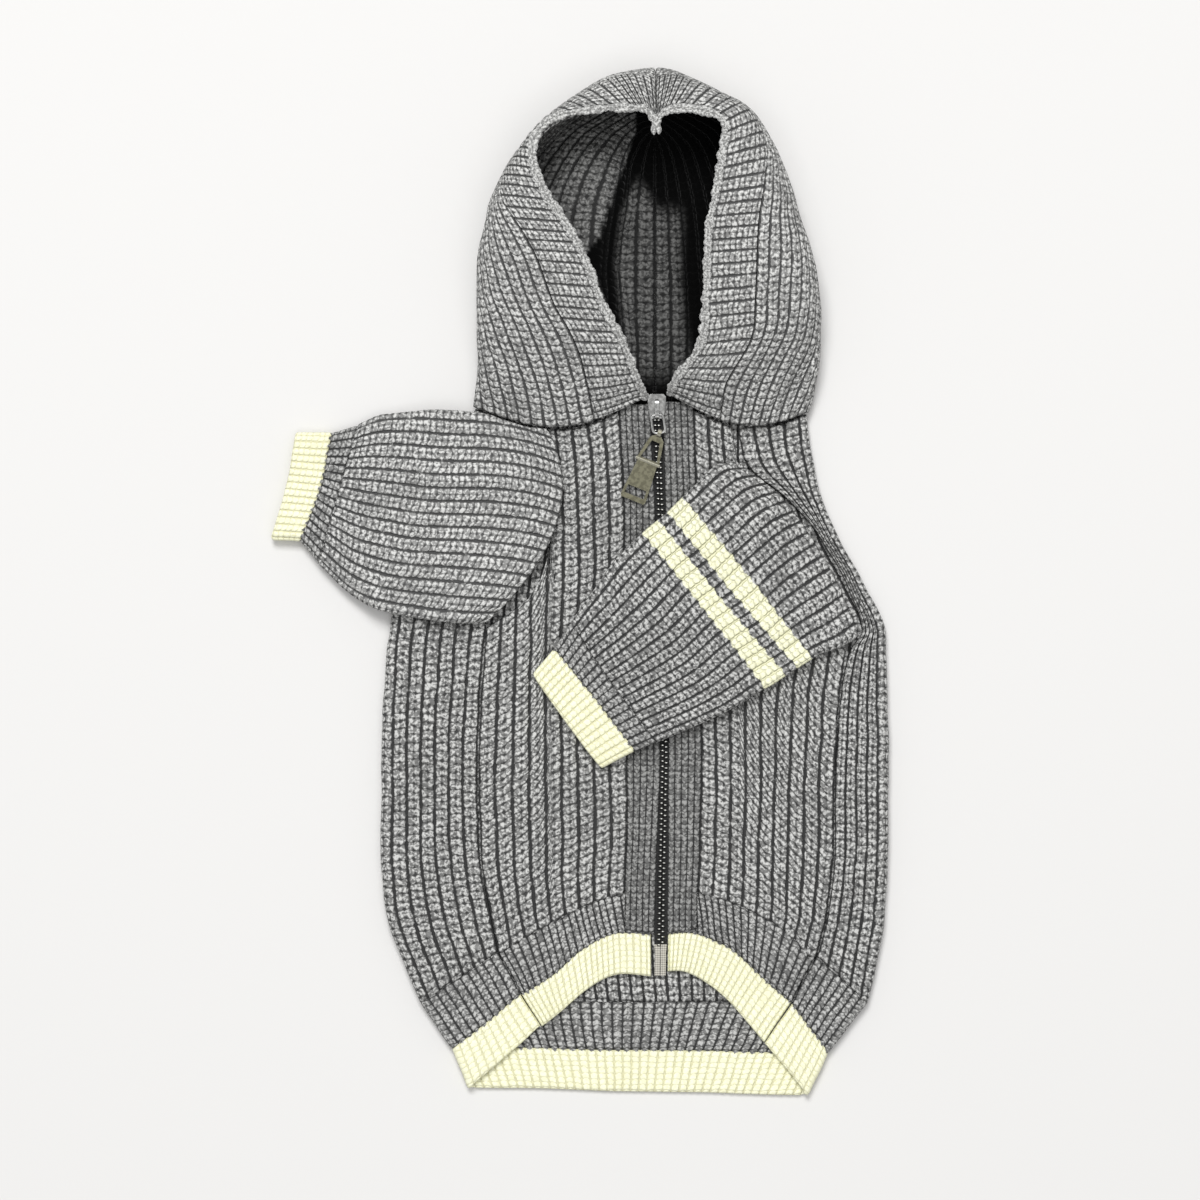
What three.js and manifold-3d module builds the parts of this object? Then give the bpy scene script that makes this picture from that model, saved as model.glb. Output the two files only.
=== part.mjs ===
// Knitted hooded dog sweater with a zip front, laid flat on a table.
// Millimetres. +Z is up from the table, +Y runs from the hem towards the hood,
// +X is to the right as the sweater is seen from above. The origin is under the
// middle of the whole garment, on the table. Right and left are the wearer's:
// the right sleeve lies out towards -X and the left one is folded over the front.
import * as THREE from 'three';
import { mergeVertices } from 'three/addons/utils/BufferGeometryUtils.js';
import Module from 'manifold-3d';

const wasm = await Module();
wasm.setup();

// Cloth
const WALL = 2.2;            // chunky knit without its ribs
const RIB_RISE = 1.1;        // height of a body rib over its groove
const FINE_RISE = 0.8;       // height of a rib of the waistbands and cuffs
const SEAM = 0.4;            // gap between two pieces at a seam
const LAYER_TOP = 5.8;       // outer face of the front, lying on the back
const SLEEVE_RIBS = 16;      // ribs on the upper face of a sleeve
const BRIM_WIDTH = 20;       // rib band round the face opening
const BRIM_THICK = 3.2;      // the band is folded double
const ROOT_WALL = 1.2;       // sleeve wall, flattened at the armhole seam

// Zip
const ZIP_HALF = 2.5;        // width of one row of teeth with its tape edge
const ZIP_LOW = 4.3;
const ZIP_HIGH = 6.3;
const PLACKET = 11.6;        // finer band along each side of the zip
const ZIP_TOP = 72.6;
const ZIP_FOOT = -156.2;

// A table with named columns: each row becomes an object.
function rowsOf(columns, ...rows) {
  return rows.map((row) => Object.fromEntries(columns.map((name, k) => [name, row[k]])));
}

// Zip line: a row for each place along it.
const zipLine = [
  { y: 80, x: 31.4 },
  { y: 30, x: 33.4 },
  { y: -70, x: 35.0 },
  { y: -106, x: 34.2 },
  { y: -160, x: 33.2 },
];

// Back panel: side seam and outer fold on the left and right of the front view,
// and the height of the fold. It wraps round both sides to the front face.
const backColumns = [
  ...['seamLX', 'seamLY', 'foldLX', 'foldLY'],
  ...['foldRX', 'foldRY', 'seamRX', 'seamRY', 'rise'],
];
const backRows = rowsOf(backColumns,
  [-27.6, 64.2, -40.4, 70.8, 92.6, 68.5, 64.2, 64.0, 6.3],
  [-28.8, 48.2, -47.6, 53.4, 94.0, 52.2, 68.4, 47.4, 6.4],
  [-30.0, 30.2, -56.4, 34.2, 97.6, 36.2, 82.4, 35.6, 6.4],
  [-32.4, 10.2, -65.2, 14.2, 104.8, 19.4, 95.8, 21.8, 6.4],
  [-35.6, -7.8, -72.4, -5.8, 114.0, 1.4, 106.4, 3.2, 6.4],
  [-37.6, -20.6, -74.8, -20.0, 122.0, -14.6, 113.6, -17.0, 6.6],
  [-38.6, -27.8, -75.6, -27.8, 123.6, -25.0, 109.6, -25.8, 7.4],
  [-39.6, -45.8, -76.8, -46.6, 124.2, -45.8, 106.0, -41.8, 8.6],
  [-40.0, -77.8, -78.4, -77.8, 124.8, -77.8, 103.6, -75.8, 8.8],
  [-38.0, -109.8, -78.4, -109.8, 124.6, -109.0, 102.8, -107.8, 8.8],
  [-34.4, -133.8, -74.8, -137.8, 122.6, -135.8, 100.4, -133.8, 8.2],
  [-32.0, -147.0, -62.8, -167.0, 116.8, -167.0, 96.4, -149.0, 7.4],
);
const backBandRows = [
  backRows[backRows.length - 1],
  ...rowsOf(backColumns,
    [-22.4, -164.2, -50.0, -185.4, 100.8, -187.4, 86.4, -167.4, 6.8],
  ),
];
const backEdgeRows = [
  backBandRows[1],
  ...rowsOf(backColumns,
    [-14.4, -176.6, -43.6, -201.6, 92.6, -204.6, 75.0, -183.2, 6.4],
  ),
];

// Fronts: where the side seam line runs, and where each rib starts and stops.
// part is the share of the way from the side seam to the placket.
const rightSeamLine = [
  { y: 62, x: -41.2 },
  { y: 22, x: -35.4 },
  { y: -6, x: -36.4 },
  { y: -22, x: -37.4 },
  { y: -46, x: -39.2 },
  { y: -78, x: -39.6 },
  { y: -110, x: -37.6 },
  { y: -134, x: -34.0 },
  { y: -147, x: -31.6 },
];
const leftSeamLine = [
  { y: 62, x: 98 },
  { y: -10, x: 106 },
  { y: -26, x: 107.8 },
  { y: -42, x: 105.4 },
  { y: -76, x: 103.2 },
  { y: -108, x: 102.4 },
  { y: -134, x: 100.0 },
  { y: -149, x: 96.0 },
];
const rightFrontTop = [
  { part: 0, y: -17.0 },
  { part: 0.17, y: -11.2 },
  { part: 0.32, y: -4.8 },
  { part: 0.40, y: 3.6 },
  { part: 0.445, y: 12.4 },
  { part: 0.468, y: 22.6 },
  { part: 0.474, y: 70 },
  { part: 1, y: 76 },
];
const leftFrontTop = [
  { part: 0, y: -26.4 },
  { part: 0.17, y: -18.2 },
  { part: 0.36, y: -3.0 },
  { part: 0.55, y: 20 },
  { part: 0.66, y: 42 },
  { part: 0.72, y: 68 },
  { part: 1, y: 76 },
];

// Hem of the fronts: three curves from the side seam to the zip, each with the
// top of the waistband, the top of its light edge and the hem itself.
const hemColumns = ['waistX', 'waistY', 'edgeX', 'edgeY', 'hemX', 'hemY'];
const rightHem = rowsOf(hemColumns,
  [-31.6, -147.0, -22.0, -164.2, -13.8, -177.0],
  [-16.4, -138.2, -10.8, -157.0, -5.6, -170.6],
  [-1.2, -130.2, 2.0, -145.4, 4.4, -161.4],
  [12.4, -124.6, 15.2, -139.4, 15.6, -155.8],
  [30.0, -121.8, 29.6, -139.8, 29.6, -156.6],
);
const leftHem = rowsOf(hemColumns,
  [96.0, -148.6, 86.0, -167.0, 74.8, -183.0],
  [77.2, -134.6, 74.0, -156.6, 64.4, -170.6],
  [59.2, -125.8, 61.2, -145.4, 54.0, -161.0],
  [45.6, -122.2, 47.2, -139.4, 43.6, -155.0],
  [36.4, -121.8, 36.0, -139.4, 36.0, -154.6],
);

// Sleeves: a flattened tube, a row for each section from armhole to wrist.
// a and b are its two edges seen from above, m the middle of its upper face;
// under and over are its lowest and highest heights, and back is how far the
// lower face stops short of the upper one at the armhole.
const sleeveColumns = ['aX', 'aY', 'mX', 'mY', 'bX', 'bY', 'under', 'over', 'backX', 'backY'];
const rightSleeveRows = rowsOf(sleeveColumns,
  [-12.0, 62.6, -8.4, 23.4, -36.8, -14.6, 7.9, 11.1, -6, 0],
  [-22.0, 65.4, -19.6, 26.2, -42.8, -14.6, 7.9, 13.8, -2, 0],
  [-34.8, 68.0, -36.8, 28.2, -54.8, -13.8, 7.9, 14.4, 0, 0],
  [-54.0, 70.0, -60.8, 28.8, -76.0, -9.8, 7.9, 14.0, 0, 0],
  [-66.0, 69.2, -73.6, 30.6, -84.8, -6.2, 2.4, 12.0, 0, 0],
  [-78.0, 67.4, -85.6, 32.6, -92.4, -1.0, 0, 10.4, 0, 0],
  [-87.2, 63.4, -96.0, 35.4, -103.6, 9.4, 0, 9.4, 0, 0],
);
const rightCuffRows = [
  rightSleeveRows[rightSleeveRows.length - 1],
  ...rowsOf(sleeveColumns,
    [-98.4, 60.8, -102.8, 38.6, -111.2, 18.0, 0, 8.6, 0, 0],
  ),
];
const rightCuffEdgeRows = [
  rightCuffRows[1],
  ...rowsOf(sleeveColumns,
    [-112.8, 61.2, -116.4, 40.0, -122.6, 18.6, 0, 8.0, 0, 0],
  ),
];
const leftSleeveRows = rowsOf(sleeveColumns,
  [63.6, 49.0, 92.4, 21.4, 112.0, -20.6, 7.3, 10.5, -5, -4],
  [55.6, 47.4, 83.2, 16.2, 104.4, -24.6, 7.3, 13.8, -1.5, -1],
  [46.0, 38.2, 72.0, 7.0, 96.4, -27.4, 7.3, 14.2, 0, 0],
  [36.4, 29.0, 62.0, -2.6, 87.6, -33.0, 7.3, 14.0, 0, 0],
  [26.4, 20.6, 51.6, -10.2, 75.2, -41.0, 7.3, 13.8, 0, 0],
  [14.0, 7.8, 38.0, -23.0, 60.4, -49.8, 7.3, 13.6, 0, 0],
  [-1.2, -14.6, 14.0, -38.6, 31.6, -62.2, 7.3, 13.0, 0, 0],
);
const leftCuffRows = [
  leftSleeveRows[leftSleeveRows.length - 1],
  ...rowsOf(sleeveColumns,
    [-8.4, -25.4, 7.2, -44.4, 23.2, -65.8, 7.3, 12.6, 0, 0],
  ),
];
const leftCuffEdgeRows = [
  leftCuffRows[1],
  ...rowsOf(sleeveColumns,
    [-17.6, -35.8, -4.6, -54.6, 10.0, -73.0, 7.3, 12.2, 0, 0],
  ),
];

// Hood: each row is an upright section from the outline to the middle seam of
// the back of the head. reach and lip place the edge of the face opening, crest
// and waist shape the side, pleat is the height of the fold inside, at pleatAt
// from the outline, and sag and lean bend the front part of the neck seam.
const HOOD_SPINE = 31.2;
const HOOD_FOOT = 70.1;
const hoodColumns = [
  ...['outX', 'outY', 'spineY', 'reach', 'lip', 'crest'],
  ...['waist', 'pleat', 'pleatAt', 'sag', 'lean'],
];
const rightHoodRows = rowsOf(hoodColumns,
  [-41.2, 71.4, HOOD_FOOT, 69.0, 7.6, 12, 5.4, 0, 45, 10.5, 5.2],
  [-39.2, 85.4, 80.2, 63.8, 17, 22, 9.5, 0, 48, 4, 2],
  [-39.6, 100.2, 94.2, 58.8, 25, 31, 13.5, 5, 50, 1, 0.5],
  [-39.6, 114.2, 109.4, 50.5, 31, 37, 16, 10, 46, 0, 0],
  [-38.8, 129.4, 124.2, 43.7, 36, 41, 18, 12, 43, 0, 0],
  [-36.0, 143.0, 138.2, 33.3, 39, 43, 19, 12, 42, 0, 0],
  [-31.2, 158.2, 150.2, 18.6, 41, 43, 19, 11, 40, 0, 0],
  [-24.0, 171.0, 160.2, 7.3, 41, 40, 19, 8, 33, 0, 0],
  [-14.4, 183.0, 168.2, 3.6, 41, 38, 18, 4, 24, 0, 0],
  [-2.8, 192.6, 173.4, 12.8, 41, 39, 17, 0, 20, 0, 0],
  [11.2, 201.0, 176.2, 18.4, 41, 40, 17, 0, 16, 0, 0],
  [20.4, 203.4, 177.4, 19.0, 41, 41, 17, 0, 14, 0, 0],
  [31.0, 205.0, 178.2, 26.2, 40, 42, 17, 0, 13, 0, 0],
);
const leftHoodRows = rowsOf(hoodColumns,
  [92.8, 69.0, HOOD_FOOT, 56.4, 7.6, 12, 5.4, 0, 30, 9, 6.8],
  [95.6, 84.2, 80.2, 56.4, 17, 22, 9.5, 0, 30, 3, 2],
  [96.8, 100.2, 94.2, 48.4, 25, 31, 13.5, 0, 30, 0, 0],
  [96.0, 115.0, 109.4, 46.0, 31, 37, 16, 0, 30, 0, 0],
  [93.6, 129.4, 124.2, 42.8, 36, 41, 18, 0, 30, 0, 0],
  [89.6, 143.0, 138.2, 38.4, 39, 43, 19, 0, 30, 0, 0],
  [85.2, 158.2, 150.2, 31.6, 41, 44, 19, 0, 30, 0, 0],
  [78.0, 174.2, 160.2, 22.6, 41, 44, 19, 0, 25, 0, 0],
  [69.2, 187.8, 168.2, 13.6, 41, 42, 18, 0, 20, 0, 0],
  [58.0, 195.0, 173.4, 14.0, 41, 40, 17, 0, 20, 0, 0],
  [46.0, 200.6, 176.2, 16.8, 41, 40, 17, 0, 16, 0, 0],
  [38.0, 203.8, 177.4, 20.6, 41, 41, 17, 0, 14, 0, 0],
  [31.4, 205.0, 178.2, 25.2, 40, 42, 17, 0, 13, 0, 0],
);
const CURL_WIDTH = 7;        // how far in the hood's side turns under

// Slider and pull
const SLIDER = { foot: 66.8, head: 76.6, wide: 7.2, narrow: 5.4, low: 6.7, high: 8.0 };
const SLIDER_NOSE = { foot: 73.2, wide: 2.2 };      // the wedge that parts the two rows
const SLIDER_BACK = { low: 2.7, high: 3.4, wide: 5.6 };
const BAIL = { foot: 66.9, head: 74.8, wide: 1.5, wall: 0.6, high: 10.6 };
const RING = { wide: 6.0, long: 8.4, wire: 1.1, corner: 2.0, turn: -8, y: 68.2, z: 8.75 };
const KNUCKLE = { bore: 2.4, outer: 3.3, wide: 1.6 };
const TAB = { turn: 22, low: 7.2, high: 8.5 };
// Half widths of the pull tab, from the knuckle on the ring to its free end.
const stirrupOutline = [
  { along: 1.1, half: 1.1 },
  { along: 2.8, half: 3.0 },
  { along: 12.6, half: 4.8 },
];
const stirrupWindow = [
  { along: 3.8, half: 1.7 },
  { along: 11.4, half: 3.5 },
];
const plateOutline = [
  { along: 11.4, half: 3.4 },
  { along: 12.6, half: 4.1 },
  { along: 28.0, half: 5.3 },
  { along: 29.0, half: 4.8 },
];
const plateWindow = [
  { along: 23.6, half: 3.9 },
  { along: 27.0, half: 4.1 },
];
const PIN = { along: 12.4, radius: 0.75, wide: 10.2 };

const yarn = new THREE.MeshStandardMaterial({ color: 0x85858a, roughness: 0.95, metalness: 0 });
const fineYarn = new THREE.MeshStandardMaterial({ color: 0x74747a, roughness: 0.95, metalness: 0 });
const lightYarn = new THREE.MeshStandardMaterial({ color: 0xf6f2d2, roughness: 0.95, metalness: 0 });
const toothMetal = new THREE.MeshStandardMaterial({ color: 0x3c3a38, roughness: 0.4, metalness: 0.9 });
const sliderMetal = new THREE.MeshStandardMaterial({ color: 0xb8b8b4, roughness: 0.3, metalness: 1 });
const tabMetal = new THREE.MeshStandardMaterial({ color: 0x8a866c, roughness: 0.45, metalness: 0.9 });

const lerp = THREE.MathUtils.lerp;
const clamp = THREE.MathUtils.clamp;

// A smooth reading of a table: t counts rows, and the columns are blended by
// Catmull-Rom, so that a short table gives a soft line.
function readRow(table, t) {
  const last = table.length - 1;
  const i = Math.min(Math.floor(clamp(t, 0, last)), Math.max(last - 1, 0));
  const f = clamp(t, 0, last) - i;
  const pick = (k) => table[clamp(k, 0, last)];
  const [p0, p1, p2, p3] = [pick(i - 1), pick(i), pick(i + 1), pick(i + 2)];
  const out = {};
  for (const key of Object.keys(p1)) {
    const a = 2 * p1[key];
    const b = p2[key] - p0[key];
    const c = 2 * p0[key] - 5 * p1[key] + 4 * p2[key] - p3[key];
    const d = -p0[key] + 3 * p1[key] - 3 * p2[key] + p3[key];
    out[key] = 0.5 * (a + f * (b + f * (c + f * d)));
  }
  return out;
}

// A straight-line reading of one column against another.
function lookUp(table, from, to, value) {
  const up = table[0][from] < table[table.length - 1][from];
  const rows = up ? table : [...table].reverse();
  const last = rows.length - 1;
  let i = 0;
  while (i < last - 1 && rows[i + 1][from] < value) i += 1;
  const share = (value - rows[i][from]) / (rows[i + 1][from] - rows[i][from]);
  return lerp(rows[i][to], rows[i + 1][to], clamp(share, 0, 1));
}

function steps(from, to, count) {
  return Array.from({ length: count + 1 }, (_, i) => lerp(from, to, i / count));
}

// Places across a ribbed stretch: a groove, then the crest of each rib as one
// point on a fine rib or two on a broad one, and a groove at the end.
function ribs(from, to, count, rise, crests = [0.3, 0.7]) {
  const places = [];
  for (let i = 0; i < count; i += 1) {
    places.push({ u: lerp(from, to, i / count), rise: 0 });
    for (const c of crests) places.push({ u: lerp(from, to, (i + c) / count), rise });
  }
  places.push({ u: to, rise: 0 });
  return places;
}

const plain = (list) => list.map((u) => ({ u, rise: 0 }));

// Joins two edges that have a different number of points.
function zipEdges(faces, outer, inner) {
  let i = 0;
  let j = 0;
  while (i < outer.length - 1 || j < inner.length - 1) {
    const nextOuter = i < outer.length - 1 ? outer[i + 1].at : Infinity;
    const nextInner = j < inner.length - 1 ? inner[j + 1].at : Infinity;
    if (nextOuter <= nextInner) {
      faces.push(outer[i].id, outer[i + 1].id, inner[j].id);
      i += 1;
    } else {
      faces.push(outer[i].id, inner[j + 1].id, inner[j].id);
      j += 1;
    }
  }
}

// A cloth wall: a ribbed outer face, a plain inner face and the rims between.
// at(u, v) is the outer face without its ribs. A closed wall is a tube round u.
function wall(form) {
  const { at, columns, rows, inner, innerRows, thick = WALL, flip = 1 } = form;
  const { closed = false, rounded = 0, trim = (p) => p } = form;
  const thickness = typeof thick === 'function' ? thick : () => thick;
  const uMin = columns[0].u;
  const uMax = columns[columns.length - 1].u;
  const vMax = rows[rows.length - 1];
  const vMin = rows[0];
  const wrap = (u) => (closed ? uMin + THREE.MathUtils.euclideanModulo(u - uMin, uMax - uMin) : u);
  const frameAt = (u, v) => {
    const du = (uMax - uMin) * 1e-3;
    const dv = (vMax - vMin) * 1e-3;
    const u0 = closed ? u - du : Math.max(u - du, uMin);
    const u1 = closed ? u + du : Math.min(u + du, uMax);
    const v0 = Math.max(v - dv, vMin);
    const v1 = Math.min(v + dv, vMax);
    const along = at(wrap(u), v1).sub(at(wrap(u), v0)).normalize();
    const across = at(wrap(u1), v).sub(at(wrap(u0), v)).normalize();
    const normal = across.clone().cross(along).normalize().multiplyScalar(flip);
    return { point: at(wrap(u), v), normal, along };
  };
  const vertices = [];
  const add = (p) => {
    trim(p);
    return vertices.push(p.x, p.y, Math.max(p.z, 0)) / 3 - 1;
  };
  const outerColumns = closed ? columns.slice(0, -1) : columns;
  const innerColumns = closed ? inner.slice(0, -1) : inner;
  const outerGrid = rows.map((v) => outerColumns.map(({ u, rise }) => {
    const { point, normal } = frameAt(u, v);
    return add(point.addScaledVector(normal, rise));
  }));
  const outerV = [...rows];
  for (let k = 1; k < rounded; k += 1) {
    const angle = (Math.PI * k) / rounded;
    outerGrid.push(outerColumns.map(({ u, rise }) => {
      const { point, normal, along } = frameAt(u, vMax);
      const half = thickness(u, vMax) / 2;
      const out = half + rise * Math.cos(angle / 2);
      point.addScaledVector(normal, -half);
      point.addScaledVector(normal, out * Math.cos(angle));
      return add(point.addScaledVector(along, out * Math.sin(angle)));
    }));
    outerV.push(vMax + k * 1e-6);
  }
  const innerGrid = innerRows.map((v) => innerColumns.map((u) => {
    const { point, normal } = frameAt(u, v);
    return add(point.addScaledVector(normal, -thickness(u, v)));
  }));
  const faces = [];
  const skin = (grid, turned) => {
    for (let j = 0; j < grid.length - 1; j += 1) {
      const count = grid[j].length;
      for (let i = 0; i < (closed ? count : count - 1); i += 1) {
        const [a, b] = [grid[j][i], grid[j][(i + 1) % count]];
        const [c, d] = [grid[j + 1][(i + 1) % count], grid[j + 1][i]];
        if (turned) faces.push(a, c, b, a, d, c);
        else faces.push(a, b, c, a, c, d);
      }
    }
  };
  skin(outerGrid, false);
  skin(innerGrid, true);
  const edge = (ids, places) => ids.map((id, k) => ({ id, at: places[k] }));
  const ring = (ids, places) => {
    const open = edge(ids, places);
    return closed ? [...open, { id: ids[0], at: uMax }] : open;
  };
  const outerU = outerColumns.map(({ u }) => u);
  const firstOuter = ring(outerGrid[0], outerU);
  const firstInner = ring(innerGrid[0], innerColumns);
  const lastOuter = ring(outerGrid[outerGrid.length - 1], outerU);
  const lastInner = ring(innerGrid[innerGrid.length - 1], innerColumns);
  const side = [];
  zipEdges(side, lastOuter, lastInner);
  faces.push(...side);
  const other = [];
  zipEdges(other, firstOuter, firstInner);
  if (!closed) {
    const leftOuter = edge(outerGrid.map((row) => row[0]), outerV);
    const leftInner = edge(innerGrid.map((row) => row[0]), innerRows);
    const rightOuter = edge(outerGrid.map((row) => row[row.length - 1]), outerV);
    const rightInner = edge(innerGrid.map((row) => row[row.length - 1]), innerRows);
    zipEdges(faces, leftOuter, leftInner);
    zipEdges(other, rightOuter, rightInner);
  }
  for (let k = 0; k < other.length; k += 3) faces.push(other[k], other[k + 2], other[k + 1]);
  return solid(vertices, faces);
}

// A geometry from points and faces, with its faces turned to point out.
function solid(vertices, faces) {
  let volume = 0;
  const p = (k) => new THREE.Vector3().fromArray(vertices, 3 * k);
  for (let k = 0; k < faces.length; k += 3) {
    volume += p(faces[k]).dot(p(faces[k + 1]).cross(p(faces[k + 2])));
  }
  if (volume < 0) {
    for (let k = 0; k < faces.length; k += 3) {
      [faces[k + 1], faces[k + 2]] = [faces[k + 2], faces[k + 1]];
    }
  }
  const geometry = new THREE.BufferGeometry();
  geometry.setAttribute('position', new THREE.Float32BufferAttribute(vertices, 3));
  geometry.setIndex(faces);
  geometry.computeVertexNormals();
  return geometry;
}

const sweater = new THREE.Group();

function addPiece(name, geometry, material) {
  const mesh = new THREE.Mesh(geometry, material);
  mesh.name = name;
  sweater.add(mesh);
  return mesh;
}

const zipX = (y) => lookUp(zipLine, 'y', 'x', y);

// The front part of the neck seam, seen from above.
function neckY(x) {
  const row = x < HOOD_SPINE ? rightHoodRows[0] : leftHoodRows[0];
  const inward = clamp(Math.abs(x - row.outX) / row.reach, 0, 1);
  const level = lerp(row.outY, HOOD_FOOT + row.lean, inward);
  return level - row.sag * Math.sin(Math.PI * inward);
}

// Back: under the front, round both sides, and over to the side seams.
function backPoint(table, u, v) {
  const r = readRow(table, v);
  const radius = r.rise / 2;
  const onLeft = u <= 2;
  const seam = onLeft ? [r.seamLX, r.seamLY] : [r.seamRX, r.seamRY];
  const fold = onLeft ? [r.foldLX, r.foldLY] : [r.foldRX, r.foldRY];
  const inLength = Math.hypot(seam[0] - fold[0], seam[1] - fold[1]);
  const dir = [(seam[0] - fold[0]) / inLength, (seam[1] - fold[1]) / inLength];
  if (u > 2 && u < 3) {
    const share = u - 2;
    const x = lerp(r.foldLX + radius, r.foldRX - radius, share);
    return new THREE.Vector3(x, lerp(r.foldLY, r.foldRY, share), 0);
  }
  const s = onLeft ? u : 5 - u;
  if (s < 1) {
    const reach = lerp(inLength, radius, s);
    const height = lerp(LAYER_TOP, r.rise, s * s * (3 - 2 * s));
    const point = new THREE.Vector3(fold[0] + dir[0] * reach, fold[1] + dir[1] * reach, height);
    point.y = Math.min(point.y, neckY(point.x) - SEAM);
    return point;
  }
  const angle = Math.PI * (s - 1);
  const reach = radius * (1 - Math.sin(angle));
  const flat = (1 - Math.cos(angle)) / 2;
  const dx = lerp(dir[0], Math.sign(dir[0]), flat);
  const dy = lerp(dir[1], 0, flat);
  return new THREE.Vector3(fold[0] + dx * reach, fold[1] + dy * reach, radius * (1 + Math.cos(angle)));
}

const turn = [1.25, 1.5, 1.75];
const backInner = [0, 0.5, 1, ...turn, 2, 2.35, 2.65, 3, ...turn.map((u) => u + 2), 4, 4.5, 5];

const TURN_END = 1.85;       // where the ribs stop, under the fold

function backPiece(name, table, rise, counts, rows, material) {
  const columns = [
    ...ribs(0, TURN_END, counts.left, rise, counts.crests),
    ...plain(steps(2, 3, 4)),
    ...ribs(5 - TURN_END, 5, counts.right, rise, counts.crests),
  ];
  const innerCount = Math.max(1, Math.round(rows.length * 0.7));
  const geometry = wall({
    at: (u, v) => backPoint(table, u, v),
    columns,
    rows,
    inner: backInner,
    innerRows: steps(rows[0], rows[rows.length - 1], innerCount),
  });
  return addPiece(name, geometry, material);
}

const bandRibs = { left: 11, right: 8, crests: [0.5] };
backPiece('back_panel', backRows, RIB_RISE, { left: 7, right: 4 }, steps(0, 10.95, 15), yarn);
backPiece('back_waistband', backBandRows, FINE_RISE, bandRibs, steps(0.03, 0.98, 2), fineYarn);
backPiece('back_hem_edge', backEdgeRows, FINE_RISE, bandRibs, steps(0.03, 1, 2), lightYarn);

// Fronts: each rib runs up from the waistband to the armhole or the neck.
function frontPoint(side, part, v) {
  const placketX = (y) => zipX(y) + side.hand * (ZIP_HALF + PLACKET + 3 * SEAM);
  const seamX = (y) => lookUp(side.seamLine, 'y', 'x', y) + side.hand * -SEAM * 0.5;
  const bottomX = lerp(seamX(-138), placketX(-138), part);
  const bottom = lookUp(side.waistLine, 'x', 'y', bottomX) + 2.5 * SEAM;
  const topX = lerp(seamX(60), placketX(60), part);
  const top = Math.min(lookUp(side.top, 'part', 'y', part), neckY(topX) - SEAM);
  const y = lerp(bottom, top, v);
  return new THREE.Vector3(lerp(seamX(y), placketX(y), part), y, LAYER_TOP);
}

const FRONT_RIBS = 9;
const fronts = [
  {
    name: 'right_front',
    hand: -1,
    hem: rightHem,
    seamLine: rightSeamLine,
    top: rightFrontTop,
    rows: 8,
    inner: [0, 0.2, 0.32, 0.468, 0.474, 0.85, 1],
    hemShare: 0.81,
    edgeShare: 1,
  },
  {
    name: 'left_front',
    hand: 1,
    hem: leftHem,
    seamLine: leftSeamLine,
    top: leftFrontTop,
    rows: 7,
    inner: [0, 0.17, 0.36, 0.55, 0.66, 0.72, 0.85, 1],
    hemShare: 0.73,
    edgeShare: 1,
  },
];
for (const side of fronts) {
  side.waistLine = steps(0, side.hem.length - 1, 24).map((t) => {
    const row = readRow(side.hem, t);
    return { x: row.waistX, y: row.waistY };
  });
  const steep = side.top.slice(-3, -1).map(({ part }) => ({ u: part, rise: 0 }));
  const columns = [...ribs(0, 1, FRONT_RIBS, RIB_RISE), ...steep].sort((p, q) => p.u - q.u);
  const geometry = wall({
    at: (u, v) => frontPoint(side, u, v),
    columns,
    rows: steps(0, 1, side.rows),
    inner: side.inner,
    innerRows: steps(0, 1, side.rows - 2),
    flip: side.hand === -1 ? 1 : -1,
  });
  addPiece(side.name, geometry, yarn);
}

// Waistband and light hem edge of each front, between two of the hem curves.
function hemPoint(side, from, to, reach, part, v) {
  const row = readRow(side.hem, part * reach * (side.hem.length - 1));
  const start = new THREE.Vector3(row[from + 'X'], row[from + 'Y'], LAYER_TOP);
  const end = new THREE.Vector3(row[to + 'X'], row[to + 'Y'], LAYER_TOP);
  return start.lerp(end, v);
}

const hemPieces = [
  {
    name: 'waistband',
    from: 'waist',
    to: 'edge',
    ends: 'hemShare',
    ribs: 14,
    last: 0.97,
    inset: PLACKET + SEAM,
    material: fineYarn,
  },
  {
    name: 'hem_edge',
    from: 'edge',
    to: 'hem',
    ends: 'edgeShare',
    ribs: 17,
    last: 1,
    inset: 0,
    material: lightYarn,
  },
];
const HEM_START = 0.02;
for (const side of fronts) {
  for (const piece of hemPieces) {
    const geometry = wall({
      at: (u, v) => hemPoint(side, piece.from, piece.to, side[piece.ends], u, v),
      columns: ribs(0.012, 1, piece.ribs, FINE_RISE, [0.5]),
      rows: steps(HEM_START, piece.last, 2),
      inner: steps(0.012, 1, 8),
      innerRows: [HEM_START, piece.last],
      flip: side.hand === -1 ? -1 : 1,
      trim: (p) => {
        const edge = zipX(p.y) + side.hand * (SEAM / 2 + ZIP_HALF + SEAM + piece.inset);
        p.x = side.hand === -1 ? Math.min(p.x, edge) : Math.max(p.x, edge);
      },
    });
    addPiece(side.name + '_' + piece.name, geometry, piece.material);
  }
}

// Plackets and zip: long strips beside the zip line.
const STRIP_ROWS = 10;
function strip(name, hand, { near, far, head, foot, low, high, columns, material }) {
  const neck = neckY(zipX(60) + hand * lerp(near, far, 0.5)) - SEAM;
  const top = Math.min(head, neck);
  const geometry = wall({
    at: (u, v) => {
      const y = lerp(foot, top, v);
      return new THREE.Vector3(zipX(y) + hand * lerp(near, far, u), y, high);
    },
    columns,
    rows: steps(0, 1, STRIP_ROWS),
    inner: [0, 1],
    innerRows: steps(0, 1, STRIP_ROWS),
    thick: high - low,
    flip: hand,
  });
  addPiece(name, geometry, material);
}

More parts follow.
